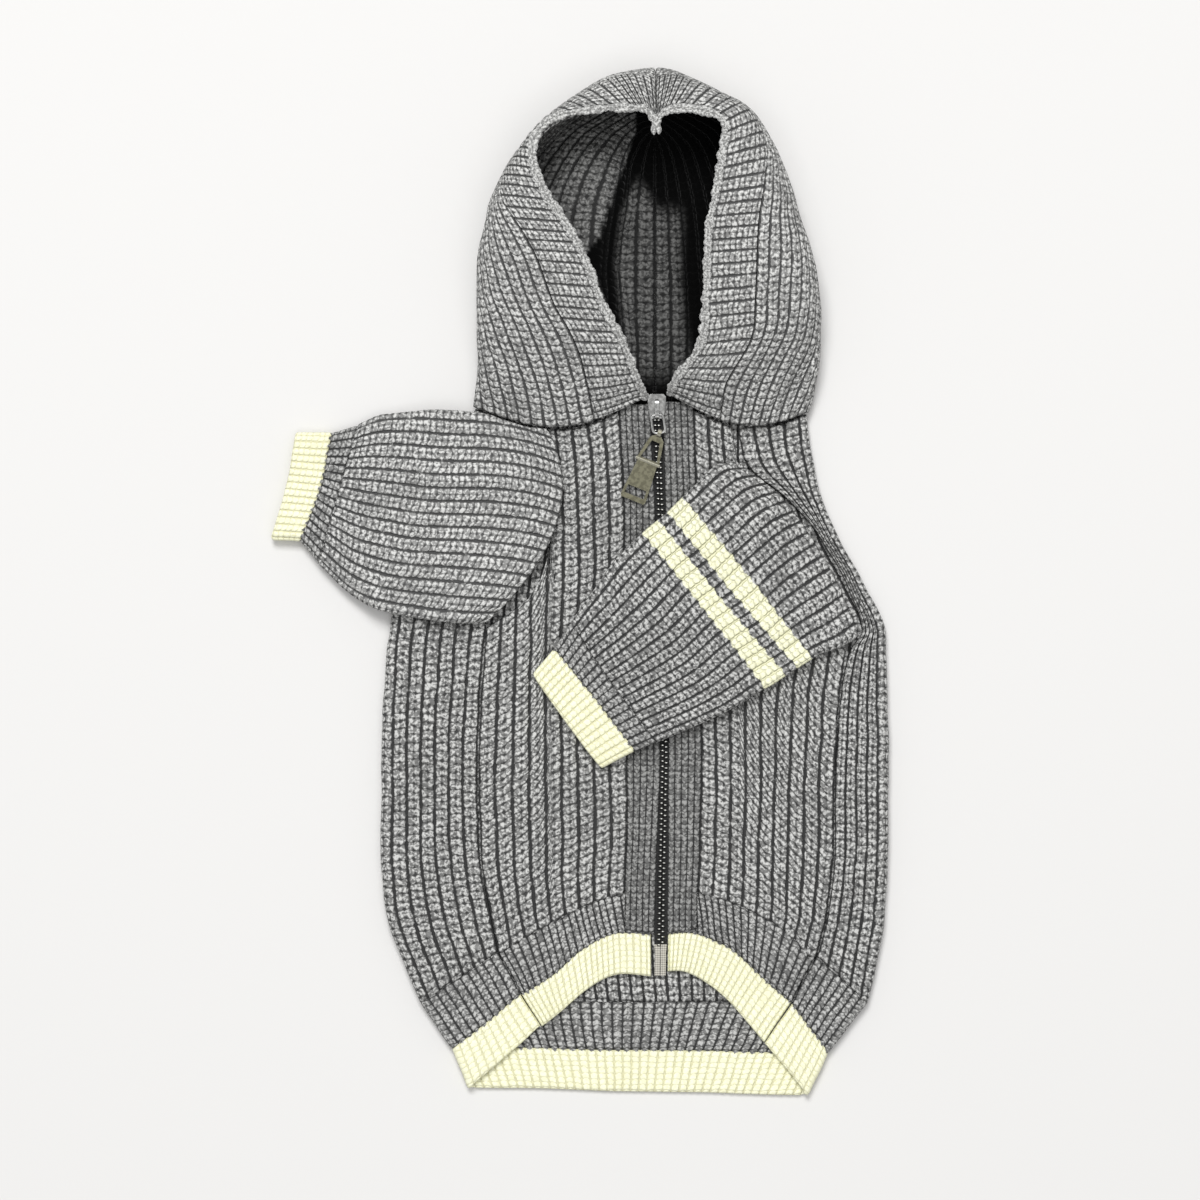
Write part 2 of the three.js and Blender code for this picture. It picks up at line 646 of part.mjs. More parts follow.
const nearTape = SEAM / 2 + ZIP_HALF + SEAM;
const placketStrip = {
  near: nearTape,
  far: nearTape + PLACKET,
  head: 80,
  foot: -138.8,
  low: LAYER_TOP - WALL,
  high: LAYER_TOP,
  columns: ribs(0, 1, 3, FINE_RISE, [0.5]),
  material: fineYarn,
};
const zipStrip = {
  near: SEAM / 2,
  far: SEAM / 2 + ZIP_HALF,
  head: ZIP_TOP,
  foot: ZIP_FOOT,
  low: ZIP_LOW,
  high: ZIP_HIGH,
  columns: plain([0, 1]),
  material: toothMetal,
};
for (const [which, hand] of [['right', -1], ['left', 1]]) {
  strip(which + '_placket', hand, placketStrip);
  strip(which + '_zip_row', hand, zipStrip);
}

// Sleeves and cuffs: a flattened tube. q runs from its upper edge to its lower.
function tubePoint(table, u, v) {
  const r = readRow(table, v);
  const half = (r.over - r.under) / 2;
  const width = Math.hypot(r.bX - r.aX, r.bY - r.aY);
  const flat = width - 2 * half;
  const arc = (Math.PI / 2) * half;
  const onTop = u <= 0.5;
  const s = (onTop ? u * 2 : 2 - u * 2) * (2 * arc + flat);
  let reach;
  let lift;
  if (s < arc) {
    reach = half * (1 - Math.cos(s / half));
    lift = half * Math.sin(s / half);
  } else if (s > arc + flat) {
    const left = 2 * arc + flat - s;
    reach = width - half * (1 - Math.cos(left / half));
    lift = half * Math.sin(left / half);
  } else {
    reach = half + s - arc;
    lift = half;
  }
  const q = reach / width;
  const height = (r.over + r.under) / 2 + (onTop ? lift : -lift);
  const bowX = r.mX - (r.aX + r.bX) / 2;
  const bowY = r.mY - (r.aY + r.bY) / 2;
  const bow = 4 * q * (1 - q);
  const under = (r.over - height) / (r.over - r.under);
  return new THREE.Vector3(
    lerp(r.aX, r.bX, q) + bowX * bow + r.backX * under,
    lerp(r.aY, r.bY, q) + bowY * bow + r.backY * under,
    height,
  );
}

const tubeInner = [
  ...[0, 0.02, 0.05, 0.15, 0.25, 0.35, 0.45, 0.48],
  ...[0.5, 0.52, 0.55, 0.65, 0.75, 0.85, 0.95, 0.98, 1],
];

function tube(name, table, { first, last, rows, ribbed, material, rootWall = WALL }) {
  const geometry = wall({
    at: (u, v) => {
      const point = tubePoint(table, u, v);
      const underHood = point.x > rightHoodRows[0].outX && point.x < 0;
      if (underHood) point.y = Math.min(point.y, neckY(point.x) - 2 * RIB_RISE - SEAM);
      return point;
    },
    columns: [...ribbed, ...plain(steps(0.5, 1, 9).slice(1))],
    rows: steps(first, last, rows),
    inner: tubeInner,
    innerRows: steps(first, last, Math.max(1, rows - 1)),
    thick: (u, v) => lerp(rootWall, WALL, clamp(v - first, 0, 1)),
    closed: true,
    flip: -1,
  });
  addPiece(name, geometry, material);
}

const CUFF_RIBS = 14;
const sleeves = [
  { name: 'right', sleeve: rightSleeveRows, cuff: rightCuffRows, edge: rightCuffEdgeRows },
  { name: 'left', sleeve: leftSleeveRows, cuff: leftCuffRows, edge: leftCuffEdgeRows },
];
for (const { name, sleeve, cuff, edge } of sleeves) {
  tube(name + '_sleeve', sleeve, {
    first: 0,
    last: sleeve.length - 1.05,
    rows: 8,
    ribbed: ribs(0, 0.5, SLEEVE_RIBS, RIB_RISE),
    material: yarn,
    rootWall: ROOT_WALL,
  });
  const cuffRibs = ribs(0, 0.5, CUFF_RIBS, FINE_RISE, [0.5]);
  tube(name + '_cuff', cuff, {
    first: 0.03,
    last: 0.96,
    rows: 1,
    ribbed: cuffRibs,
    material: fineYarn,
  });
  tube(name + '_cuff_edge', edge, {
    first: 0.04,
    last: 1,
    rows: 2,
    ribbed: cuffRibs,
    material: lightYarn,
  });
}

const PLEAT_FALL = 14;       // how soon the fold inside the hood drops again

// Hood: the section at row v, with the length run along it from the edge of the
// face opening, over the side, to the seam at the back.
function hoodSection(table, v) {
  const r = readRow(table, v);
  const depth = Math.hypot(HOOD_SPINE - r.outX, r.spineY - r.outY) - SEAM / 2;
  const flat = [];
  const over = new THREE.CubicBezierCurve(
    new THREE.Vector2(r.reach, r.lip),
    new THREE.Vector2(r.reach * 0.45, r.crest + 1),
    new THREE.Vector2(0, r.crest),
    new THREE.Vector2(0, r.waist),
  );
  for (const p of over.getPoints(40)) flat.push(p);
  for (const a of steps(0, Math.PI / 2, 12).slice(1)) {
    flat.push(new THREE.Vector2(CURL_WIDTH * (1 - Math.cos(a)), r.waist * (1 - Math.sin(a))));
  }
  const turnEnd = flat.length - 1;
  for (const p of steps(0, 1, 24).slice(1)) {
    const x = lerp(CURL_WIDTH, depth, p);
    const before = clamp((x - CURL_WIDTH) / (r.pleatAt - CURL_WIDTH), 0, 1);
    const after = clamp((x - r.pleatAt) / PLEAT_FALL, 0, 1);
    const rise = (1 - Math.cos(Math.PI * before)) / 2;
    const fall = (1 + Math.cos(Math.PI * after)) / 2;
    flat.push(new THREE.Vector2(x, r.pleat * rise * fall));
  }
  const length = [0];
  for (let i = 1; i < flat.length; i += 1) {
    length.push(length[i - 1] + flat[i].distanceTo(flat[i - 1]));
  }
  return { r, flat, length, turnEnd };
}

function hoodPoint(table, u, v) {
  const { r, flat, length, turnEnd } = hoodSection(table, v);
  const marks = [0, BRIM_WIDTH, length[turnEnd], length[length.length - 1]];
  const k = clamp(Math.floor(u), 0, 2);
  const s = lerp(marks[k], marks[k + 1], u - k);
  let i = 1;
  while (i < length.length - 1 && length[i] < s) i += 1;
  const f = (s - length[i - 1]) / (length[i] - length[i - 1]);
  const p = flat[i - 1].clone().lerp(flat[i], f);
  const span = Math.hypot(HOOD_SPINE - r.outX, r.spineY - r.outY);
  const x = r.outX + ((HOOD_SPINE - r.outX) / span) * p.x;
  let y = r.outY + ((r.spineY - r.outY) / span) * p.x;
  const share = clamp(p.x / r.reach, 0, 1);
  const upper = i <= turnEnd - 12 ? 1 : 0;
  y += upper * (r.lean * share - r.sag * Math.sin(Math.PI * share));
  return new THREE.Vector3(x, y, p.y);
}

const HOOD_START = 1.05;     // where a hood panel starts, past the brim seam

const hoodSides = [
  { name: 'right', table: rightHoodRows, flip: -1, brimRibs: 42 },
  { name: 'left', table: leftHoodRows, flip: 1, brimRibs: 36 },
];
for (const { name, table, flip, brimRibs } of hoodSides) {
  const last = table.length - 1;
  const centre = HOOD_SPINE + (flip * SEAM) / 2;
  const trim = (p) => {
    p.x = flip === -1 ? Math.min(p.x, centre) : Math.max(p.x, centre);
  };
  const seamEnd = 1 - (3.4 * SEAM) / BRIM_WIDTH;
  const lipEnd = BRIM_THICK / 2 / BRIM_WIDTH;
  const panel = wall({
    at: (u, v) => hoodPoint(table, u, v),
    columns: [...ribs(HOOD_START, 2, 11, RIB_RISE), ...plain(steps(2, 3, 6).slice(1))],
    rows: steps(0, last, 18),
    inner: [...steps(HOOD_START, 2, 6), ...steps(2, 3, 6).slice(1)],
    innerRows: steps(0, last, 18),
    flip,
    trim,
  });
  addPiece(name + '_hood', panel, yarn);
  const brim = wall({
    at: (u, v) => hoodPoint(table, v, u),
    columns: ribs(0, last, brimRibs, FINE_RISE, [0.5]),
    rows: steps(seamEnd, lipEnd, 3),
    inner: steps(0, last, 24),
    innerRows: [seamEnd, 0.5, lipEnd],
    thick: BRIM_THICK,
    flip,
    rounded: 3,
    trim,
  });
  addPiece(name + '_brim', brim, fineYarn);
}

// Metal parts are joined and cut as solids.
function toSolid(geometry) {
  const bare = geometry.clone();
  bare.deleteAttribute('normal');
  bare.deleteAttribute('uv');
  const merged = mergeVertices(bare, 1e-4);
  return new wasm.Manifold(new wasm.Mesh({
    numProp: 3,
    vertProperties: new Float32Array(merged.attributes.position.array),
    triVerts: new Uint32Array(merged.index.array),
  }));
}

function toGeometry(body) {
  const mesh = body.getMesh();
  const geometry = new THREE.BufferGeometry();
  geometry.setAttribute('position', new THREE.BufferAttribute(new Float32Array(mesh.vertProperties), 3));
  geometry.setIndex(new THREE.BufferAttribute(new Uint32Array(mesh.triVerts), 1));
  geometry.computeVertexNormals();
  return geometry;
}

function extrude(shape, depth) {
  const options = { depth, bevelEnabled: false, curveSegments: 8 };
  return new THREE.ExtrudeGeometry(shape, options);
}

// An outline with a straight middle line, from its half widths along that line.
function bladeShape(table) {
  const right = table.map(({ along, half }) => new THREE.Vector2(half, -along));
  const left = table.map(({ along, half }) => new THREE.Vector2(-half, -along)).reverse();
  return new THREE.Shape([...right, ...left]);
}

function sliderSolid() {
  const x = zipX(SLIDER.foot);
  const top = new THREE.Shape([
    new THREE.Vector2(-SLIDER.narrow / 2, SLIDER.foot),
    new THREE.Vector2(SLIDER.narrow / 2, SLIDER.foot),
    new THREE.Vector2(SLIDER.wide / 2, SLIDER_NOSE.foot),
    new THREE.Vector2(SLIDER.wide / 2, SLIDER.head - 1),
    new THREE.Vector2(SLIDER.wide / 2 - 1, SLIDER.head),
    new THREE.Vector2(-SLIDER.wide / 2 + 1, SLIDER.head),
    new THREE.Vector2(-SLIDER.wide / 2, SLIDER.head - 1),
    new THREE.Vector2(-SLIDER.wide / 2, SLIDER_NOSE.foot),
  ]);
  const plate = extrude(top, SLIDER.high - SLIDER.low).translate(x, 0, SLIDER.low);
  const block = (wide, foot, low, high) => new THREE.BoxGeometry(wide, SLIDER.head - foot, high - low)
    .translate(x, (SLIDER.head + foot) / 2, (low + high) / 2);
  const nose = block(SLIDER_NOSE.wide, SLIDER_NOSE.foot, SLIDER_BACK.low + 0.1, SLIDER.low + 0.1);
  const back = block(SLIDER_BACK.wide, SLIDER.foot, SLIDER_BACK.low, SLIDER_BACK.high);
  const arch = new THREE.Shape();
  const rise = BAIL.high - SLIDER.high;
  arch.moveTo(BAIL.foot, -0.2);
  arch.lineTo(BAIL.foot, rise - 1);
  arch.quadraticCurveTo(BAIL.foot, rise, BAIL.foot + 1.4, rise);
  arch.lineTo(BAIL.head - 2.4, rise);
  arch.quadraticCurveTo(BAIL.head, rise, BAIL.head, -0.2);
  arch.lineTo(BAIL.head - 1.2, -0.2);
  arch.quadraticCurveTo(BAIL.head - 1.4, rise - 0.8, BAIL.head - 2.8, rise - 0.8);
  arch.lineTo(BAIL.foot + BAIL.wall, rise - 0.8);
  arch.lineTo(BAIL.foot + BAIL.wall, -0.2);
  const bail = extrude(arch, BAIL.wide)
    .applyMatrix4(new THREE.Matrix4().makeBasis(
      new THREE.Vector3(0, 1, 0),
      new THREE.Vector3(0, 0, 1),
      new THREE.Vector3(1, 0, 0),
    ))
    .translate(x - BAIL.wide / 2, 0, SLIDER.high);
  return [nose, back, bail].reduce((body, g) => body.add(toSolid(g)), toSolid(plate));
}

// A closed wire loop round a rounded oblong, lying level.
function wireLoop(wide, long, wire, corner, perCorner, sides) {
  const hx = (wide - wire) / 2;
  const hy = long - wire;
  const bend = corner - wire / 2;
  const centres = [
    [hx - bend, -bend, 0],
    [-hx + bend, -bend, 90],
    [-hx + bend, -hy + bend, 180],
    [hx - bend, -hy + bend, 270],
  ];
  const path = centres.flatMap(([cx, cy, from]) => steps(from, from + 90, perCorner).map((deg) => {
    const a = THREE.MathUtils.degToRad(deg);
    return { x: cx + bend * Math.cos(a), y: cy + bend * Math.sin(a), nx: Math.cos(a), ny: Math.sin(a) };
  }));
  const vertices = [];
  const faces = [];
  path.forEach(({ x, y, nx, ny }, i) => {
    for (let k = 0; k < sides; k += 1) {
      const a = (2 * Math.PI * k) / sides;
      const out = (wire / 2) * Math.cos(a);
      vertices.push(x + nx * out, y + ny * out, (wire / 2) * Math.sin(a));
      const next = (i + 1) % path.length;
      const [p, q] = [i * sides + k, i * sides + ((k + 1) % sides)];
      const [r, t] = [next * sides + ((k + 1) % sides), next * sides + k];
      faces.push(p, q, r, p, r, t);
    }
  });
  return solid(vertices, faces);
}

const sliderX = zipX(SLIDER.foot);
const ringTurn = THREE.MathUtils.degToRad(-RING.turn);
const ringReach = RING.long - RING.wire;
const knuckleX = sliderX + ringReach * Math.sin(ringTurn);
const knuckleY = RING.y - ringReach * Math.cos(ringTurn);

function tabSolid() {
  const thick = TAB.high - TAB.low;
  const sheet = (table) => toSolid(extrude(bladeShape(table), thick));
  const hole = (table) => toSolid(extrude(bladeShape(table), thick + 2).translate(0, 0, -1));
  const across = (radius, wide) => {
    const rod = new THREE.CylinderGeometry(radius, radius, wide, 16);
    return rod.rotateZ(Math.PI / 2);
  };
  const axisHeight = RING.z - TAB.low;
  const knuckle = toSolid(across(KNUCKLE.outer / 2, KNUCKLE.wide).translate(0, 0, axisHeight));
  const bore = toSolid(across(KNUCKLE.bore / 2, KNUCKLE.wide + 2).translate(0, 0, axisHeight));
  const pin = toSolid(across(PIN.radius, PIN.wide).translate(0, -PIN.along, PIN.radius));
  return sheet(stirrupOutline).add(knuckle).subtract(bore).subtract(hole(stirrupWindow))
    .add(sheet(plateOutline)).subtract(hole(plateWindow)).add(pin);
}

addPiece('zip_slider', toGeometry(sliderSolid()), sliderMetal);
const ringLoop = wireLoop(RING.wide, RING.long, RING.wire, RING.corner, 3, 8);
const ring = addPiece('pull_ring', ringLoop, sliderMetal);
ring.position.set(sliderX, RING.y, RING.z);
ring.rotation.z = ringTurn;
const tab = addPiece('pull_tab', toGeometry(tabSolid()), tabMetal);
tab.position.set(knuckleX, knuckleY, TAB.low);
tab.rotation.z = THREE.MathUtils.degToRad(-TAB.turn);

export default sweater;
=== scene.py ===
"""A knitted, hooded dog sweater with a zip front, laid flat on a pale table.

Lengths in the tables are millimetres in the frame's own axes: +Z up from the table,
+Y from the hem to the hood. Right and left are the wearer's.
"""

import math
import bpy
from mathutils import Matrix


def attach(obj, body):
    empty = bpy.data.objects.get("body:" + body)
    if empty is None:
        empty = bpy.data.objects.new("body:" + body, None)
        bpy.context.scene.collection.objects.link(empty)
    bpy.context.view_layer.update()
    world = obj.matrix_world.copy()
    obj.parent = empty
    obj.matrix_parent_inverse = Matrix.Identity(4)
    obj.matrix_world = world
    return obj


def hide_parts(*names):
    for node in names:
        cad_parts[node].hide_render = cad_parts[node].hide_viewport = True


bl_info = {
    "name": "Knitted Dog Sweater",
    "version": (1, 0, 0),
    "blender": (4, 5, 0),
    "location": "View3D > Sidebar > Sweater",
    "description": "Builds a ribbed, hooded, zip-front sweater round its frame",
    "category": "Add Mesh",
}

import bpy
import numpy as np
from bpy.props import FloatProperty, FloatVectorProperty, IntProperty, PointerProperty
from mathutils import Vector, noise

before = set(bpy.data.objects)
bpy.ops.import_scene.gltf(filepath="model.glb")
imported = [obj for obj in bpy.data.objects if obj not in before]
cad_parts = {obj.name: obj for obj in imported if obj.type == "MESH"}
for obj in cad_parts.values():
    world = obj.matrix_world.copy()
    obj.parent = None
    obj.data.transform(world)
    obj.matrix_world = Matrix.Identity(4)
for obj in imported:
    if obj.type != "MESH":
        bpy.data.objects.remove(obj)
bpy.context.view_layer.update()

MM = 0.001
WALL = 2.2
SEAM = 0.4
LAYER_TOP = 5.8
BRIM_WIDTH = 20.0
BRIM_THICK = 3.2
ZIP_HALF = 2.5
PLACKET = 11.6
HOOD_SPINE = 31.2
HOOD_FOOT = 70.1
CURL_WIDTH = 7.0
PLEAT_FADE = 14.0
HOOD_CLEARANCE = 1.6
BAND_LEVEL = -138.0
SHOULDER_LEVEL = 60.0
PLACKET_FOOT = -139.4
ZIP_CUT = -138.8
TEETH_FOOT = -143.8
TEETH_HEAD = 70.5
TAPE_BARE = -144.5
TAPE_FOOT = -156.2
TAPE_HEAD = 73.0
TAPE_BOTTOM = 4.2
TAPE_TOP = 4.75
INNER_LEVEL = 0.2
# How far from an edge a piece starts to round off.
SEAM_RIM = 0.15
FREE_RIM = 1.1
HOOD_RIM = 0.25
# Points and readings along the smooth parts.
HEM_READINGS = 6
ARCH_POINTS = 41
CURL_POINTS = 13
FLOOR_POINTS = 37
# Where the columns of one rib stand, closer together in the groove.
RIB_COLUMNS = (0.0, 0.07, 0.2, 0.4, 0.6, 0.8, 0.93)

# The stage, in metres.
TABLE_HALF = 3.0
TABLE_LEVEL = -0.0004
VIEW_WIDTH = 0.48
VIEW_LEVEL = 0.008
VIEW_CENTRE = (0.0092, -0.0058)
SENSOR_WIDTH = 36


def rows_of(columns, *rows):
    """A table with named columns: each row becomes a dictionary."""
    return [dict(zip(columns, row)) for row in rows]


ZIP_LINE = rows_of(("y", "x"), (80, 31.4), (30, 33.4), (-70, 35.0), (-106, 34.2), (-160, 33.2))

BACK_COLUMNS = ("seamLX", "seamLY", "foldLX", "foldLY", "foldRX", "foldRY", "seamRX", "seamRY", "rise")
BACK_ROWS = rows_of(
    BACK_COLUMNS,
    (-27.6, 64.2, -40.4, 70.8, 92.6, 68.5, 64.2, 64.0, 6.3),
    (-28.8, 48.2, -47.6, 53.4, 94.0, 52.2, 68.4, 47.4, 6.4),
    (-30.0, 30.2, -56.4, 34.2, 97.6, 36.2, 82.4, 35.6, 6.4),
    (-32.4, 10.2, -65.2, 14.2, 104.8, 19.4, 95.8, 21.8, 6.4),
    (-35.6, -7.8, -72.4, -5.8, 114.0, 1.4, 106.4, 3.2, 6.4),
    (-37.6, -20.6, -74.8, -20.0, 122.0, -14.6, 113.6, -17.0, 6.6),
    (-38.6, -27.8, -75.6, -27.8, 123.6, -25.0, 109.6, -25.8, 7.4),
    (-39.6, -45.8, -76.8, -46.6, 124.2, -45.8, 106.0, -41.8, 8.6),
    (-40.0, -77.8, -78.4, -77.8, 124.8, -77.8, 103.6, -75.8, 8.8),
    (-38.0, -109.8, -78.4, -109.8, 124.6, -109.0, 102.8, -107.8, 8.8),
    (-34.4, -133.8, -74.8, -137.8, 122.6, -135.8, 100.4, -133.8, 8.2),
    (-32.0, -147.0, -62.8, -167.0, 116.8, -167.0, 96.4, -149.0, 7.4),
)
BACK_BAND_ROWS = [BACK_ROWS[-1]] + rows_of(
    BACK_COLUMNS,
    (-22.4, -164.2, -50.0, -185.4, 100.8, -187.4, 86.4, -167.4, 6.8),
)
BACK_EDGE_ROWS = [BACK_BAND_ROWS[1]] + rows_of(
    BACK_COLUMNS,
    (-14.4, -176.6, -43.6, -201.6, 92.6, -204.6, 75.0, -183.2, 6.4),
)

RIGHT_SEAM_LINE = rows_of(
    ("y", "x"), (62, -41.2), (22, -35.4), (-6, -36.4), (-22, -37.4), (-46, -39.2),
    (-78, -39.6), (-110, -37.6), (-134, -34.0), (-147, -31.6),
)
LEFT_SEAM_LINE = rows_of(
    ("y", "x"), (62, 98), (-10, 106), (-26, 107.8), (-42, 105.4), (-76, 103.2),
    (-108, 102.4), (-134, 100.0), (-149, 96.0),
)
RIGHT_FRONT_TOP = rows_of(
    ("part", "y"), (0, -17.0), (0.17, -11.2), (0.32, -4.8), (0.40, 3.6), (0.445, 12.4),
    (0.468, 22.6), (0.474, 70), (1, 76),
)
LEFT_FRONT_TOP = rows_of(
    ("part", "y"), (0, -26.4), (0.17, -18.2), (0.36, -3.0), (0.55, 20), (0.66, 42),
    (0.72, 68), (1, 76),
)

HEM_COLUMNS = ("waistX", "waistY", "edgeX", "edgeY", "hemX", "hemY")
RIGHT_HEM = rows_of(
    HEM_COLUMNS,
    (-31.6, -147.0, -22.0, -164.2, -13.8, -177.0),
    (-16.4, -138.2, -10.8, -157.0, -5.6, -170.6),
    (-1.2, -130.2, 2.0, -145.4, 4.4, -161.4),
    (12.4, -124.6, 15.2, -139.4, 15.6, -155.8),
    (30.0, -121.8, 29.6, -139.8, 29.6, -156.6),
)
LEFT_HEM = rows_of(
    HEM_COLUMNS,
    (96.0, -148.6, 86.0, -167.0, 74.8, -183.0),
    (77.2, -134.6, 74.0, -156.6, 64.4, -170.6),
    (59.2, -125.8, 61.2, -145.4, 54.0, -161.0),
    (45.6, -122.2, 47.2, -139.4, 43.6, -155.0),
    (36.4, -121.8, 36.0, -139.4, 36.0, -154.6),
)

SLEEVE_COLUMNS = ("aX", "aY", "mX", "mY", "bX", "bY", "under", "over", "backX", "backY")
RIGHT_SLEEVE_ROWS = rows_of(
    SLEEVE_COLUMNS,
    (-12.0, 62.6, -8.4, 23.4, -36.8, -14.6, 7.9, 11.1, -6, 0),
    (-22.0, 65.4, -19.6, 26.2, -42.8, -14.6, 7.9, 13.8, -2, 0),
    (-34.8, 68.0, -36.8, 28.2, -54.8, -13.8, 7.9, 14.4, 0, 0),
    (-54.0, 70.0, -60.8, 28.8, -76.0, -9.8, 7.9, 14.0, 0, 0),
    (-66.0, 69.2, -73.6, 30.6, -84.8, -6.2, 2.4, 12.0, 0, 0),
    (-78.0, 67.4, -85.6, 32.6, -92.4, -1.0, 0, 10.4, 0, 0),
    (-87.2, 63.4, -96.0, 35.4, -103.6, 9.4, 0, 9.4, 0, 0),
)
RIGHT_CUFF_ROWS = [RIGHT_SLEEVE_ROWS[-1]] + rows_of(
    SLEEVE_COLUMNS, (-98.4, 60.8, -102.8, 38.6, -111.2, 18.0, 0, 8.6, 0, 0),
)
RIGHT_CUFF_EDGE_ROWS = [RIGHT_CUFF_ROWS[1]] + rows_of(
    SLEEVE_COLUMNS, (-112.8, 61.2, -116.4, 40.0, -122.6, 18.6, 0, 8.0, 0, 0),
)
LEFT_SLEEVE_ROWS = rows_of(
    SLEEVE_COLUMNS,
    (63.6, 49.0, 92.4, 21.4, 112.0, -20.6, 7.3, 10.5, -5, -4),
    (55.6, 47.4, 83.2, 16.2, 104.4, -24.6, 7.3, 13.8, -1.5, -1),
    (46.0, 38.2, 72.0, 7.0, 96.4, -27.4, 7.3, 14.2, 0, 0),
    (36.4, 29.0, 62.0, -2.6, 87.6, -33.0, 7.3, 14.0, 0, 0),
    (26.4, 20.6, 51.6, -10.2, 75.2, -41.0, 7.3, 13.8, 0, 0),
    (14.0, 7.8, 38.0, -23.0, 60.4, -49.8, 7.3, 13.6, 0, 0),
    (-1.2, -14.6, 14.0, -38.6, 31.6, -62.2, 7.3, 13.0, 0, 0),
)
LEFT_CUFF_ROWS = [LEFT_SLEEVE_ROWS[-1]] + rows_of(
    SLEEVE_COLUMNS, (-8.4, -25.4, 7.2, -44.4, 23.2, -65.8, 7.3, 12.6, 0, 0),
)
LEFT_CUFF_EDGE_ROWS = [LEFT_CUFF_ROWS[1]] + rows_of(
    SLEEVE_COLUMNS, (-17.6, -35.8, -4.6, -54.6, 10.0, -73.0, 7.3, 12.2, 0, 0),
)
STRIPES = ((2.38, 3.0), (3.4, 4.0))

HOOD_COLUMNS = (
    "outX", "outY", "spineY", "reach", "lip", "crest", "waist", "pleat", "pleatAt", "sag", "lean",
)
RIGHT_HOOD_ROWS = rows_of(
    HOOD_COLUMNS,
    (-41.2, 71.4, HOOD_FOOT, 69.0, 7.6, 12, 5.4, 0, 45, 10.5, 5.2),
    (-39.2, 85.4, 80.2, 63.8, 17, 22, 9.5, 0, 48, 4, 2),
    (-39.6, 100.2, 94.2, 58.8, 25, 31, 13.5, 5, 50, 1, 0.5),
    (-39.6, 114.2, 109.4, 50.5, 31, 37, 16, 10, 46, 0, 0),
    (-38.8, 129.4, 124.2, 43.7, 36, 41, 18, 12, 43, 0, 0),
    (-36.0, 143.0, 138.2, 33.3, 39, 43, 19, 12, 42, 0, 0),
    (-31.2, 158.2, 150.2, 18.6, 41, 43, 19, 11, 40, 0, 0),
    (-24.0, 171.0, 160.2, 7.3, 41, 40, 19, 8, 33, 0, 0),
    (-14.4, 183.0, 168.2, 3.6, 41, 38, 18, 4, 24, 0, 0),
    (-2.8, 192.6, 173.4, 12.8, 41, 39, 17, 0, 20, 0, 0),
    (11.2, 201.0, 176.2, 18.4, 41, 40, 17, 0, 16, 0, 0),
    (20.4, 203.4, 177.4, 19.0, 41, 41, 17, 0, 14, 0, 0),
    (31.0, 205.0, 178.2, 26.2, 40, 42, 17, 0, 13, 0, 0),
)
LEFT_HOOD_ROWS = rows_of(
    HOOD_COLUMNS,
    (92.8, 69.0, HOOD_FOOT, 56.4, 7.6, 12, 5.4, 0, 30, 9, 6.8),
    (95.6, 84.2, 80.2, 56.4, 17, 22, 9.5, 0, 30, 3, 2),
    (96.8, 100.2, 94.2, 48.4, 25, 31, 13.5, 0, 30, 0, 0),
    (96.0, 115.0, 109.4, 46.0, 31, 37, 16, 0, 30, 0, 0),
    (93.6, 129.4, 124.2, 42.8, 36, 41, 18, 0, 30, 0, 0),
    (89.6, 143.0, 138.2, 38.4, 39, 43, 19, 0, 30, 0, 0),
    (85.2, 158.2, 150.2, 31.6, 41, 44, 19, 0, 30, 0, 0),
    (78.0, 174.2, 160.2, 22.6, 41, 44, 19, 0, 25, 0, 0),
    (69.2, 187.8, 168.2, 13.6, 41, 42, 18, 0, 20, 0, 0),
    (58.0, 195.0, 173.4, 14.0, 41, 40, 17, 0, 20, 0, 0),
    (46.0, 200.6, 176.2, 16.8, 41, 40, 17, 0, 16, 0, 0),
    (38.0, 203.8, 177.4, 20.6, 41, 41, 17, 0, 14, 0, 0),
    (31.4, 205.0, 178.2, 25.2, 40, 42, 17, 0, 13, 0, 0),
)

# Folds of the cloth: from and to, half width, and height over the plain form.
FOLD_COLUMNS = ("fromX", "fromY", "toX", "toY", "width", "height")
RIGHT_SLEEVE_FOLDS = rows_of(
    FOLD_COLUMNS,
    (-14, 50, -66, 44, 6, 2.2),
    (-18, 30, -60, 22, 5, -1.2),
    (-30, -4, -72, 6, 5, 2.0),
    (-46, 60, -84, 52, 5, -1.0),
    (-60, 8, -90, 22, 4, 1.2),
)
LEFT_SLEEVE_FOLDS = rows_of(
    FOLD_COLUMNS,
    (100, 6, 66, -20, 6, 1.8),
    (84, 36, 52, 18, 5, 1.6),
    (96, -18, 62, -40, 4, -1.0),
    (64, 14, 24, -18, 6, 1.0),
)
BODY_FOLDS = rows_of(
    FOLD_COLUMNS,
    (-8, -10, -4, -90, 7, 1.0),
    (-26, -24, -30, -110, 5, 1.3),
    (84, -52, 78, -120, 6, 1.2),
    (96, -60, 98, -128, 4, -0.8),
    (-58, -30, -62, -120, 7, 1.4),
    (114, -40, 115, -120, 5, 1.2),
)
HOOD_FOLDS = rows_of(
    FOLD_COLUMNS,
    (-30, 80, -34, 130, 6, 1.6),
    (90, 112, 74, 72, 4, 2.0),
    (97, 104, 82, 72, 2.5, -2.4),
    (84, 100, 86, 150, 6, 1.4),
    (56, 76, 70, 92, 5, 1.2),
)


def lerp(a, b, share):
    return a + (b - a) * share


def clamp(value, low, high):
    return max(low, min(high, value))


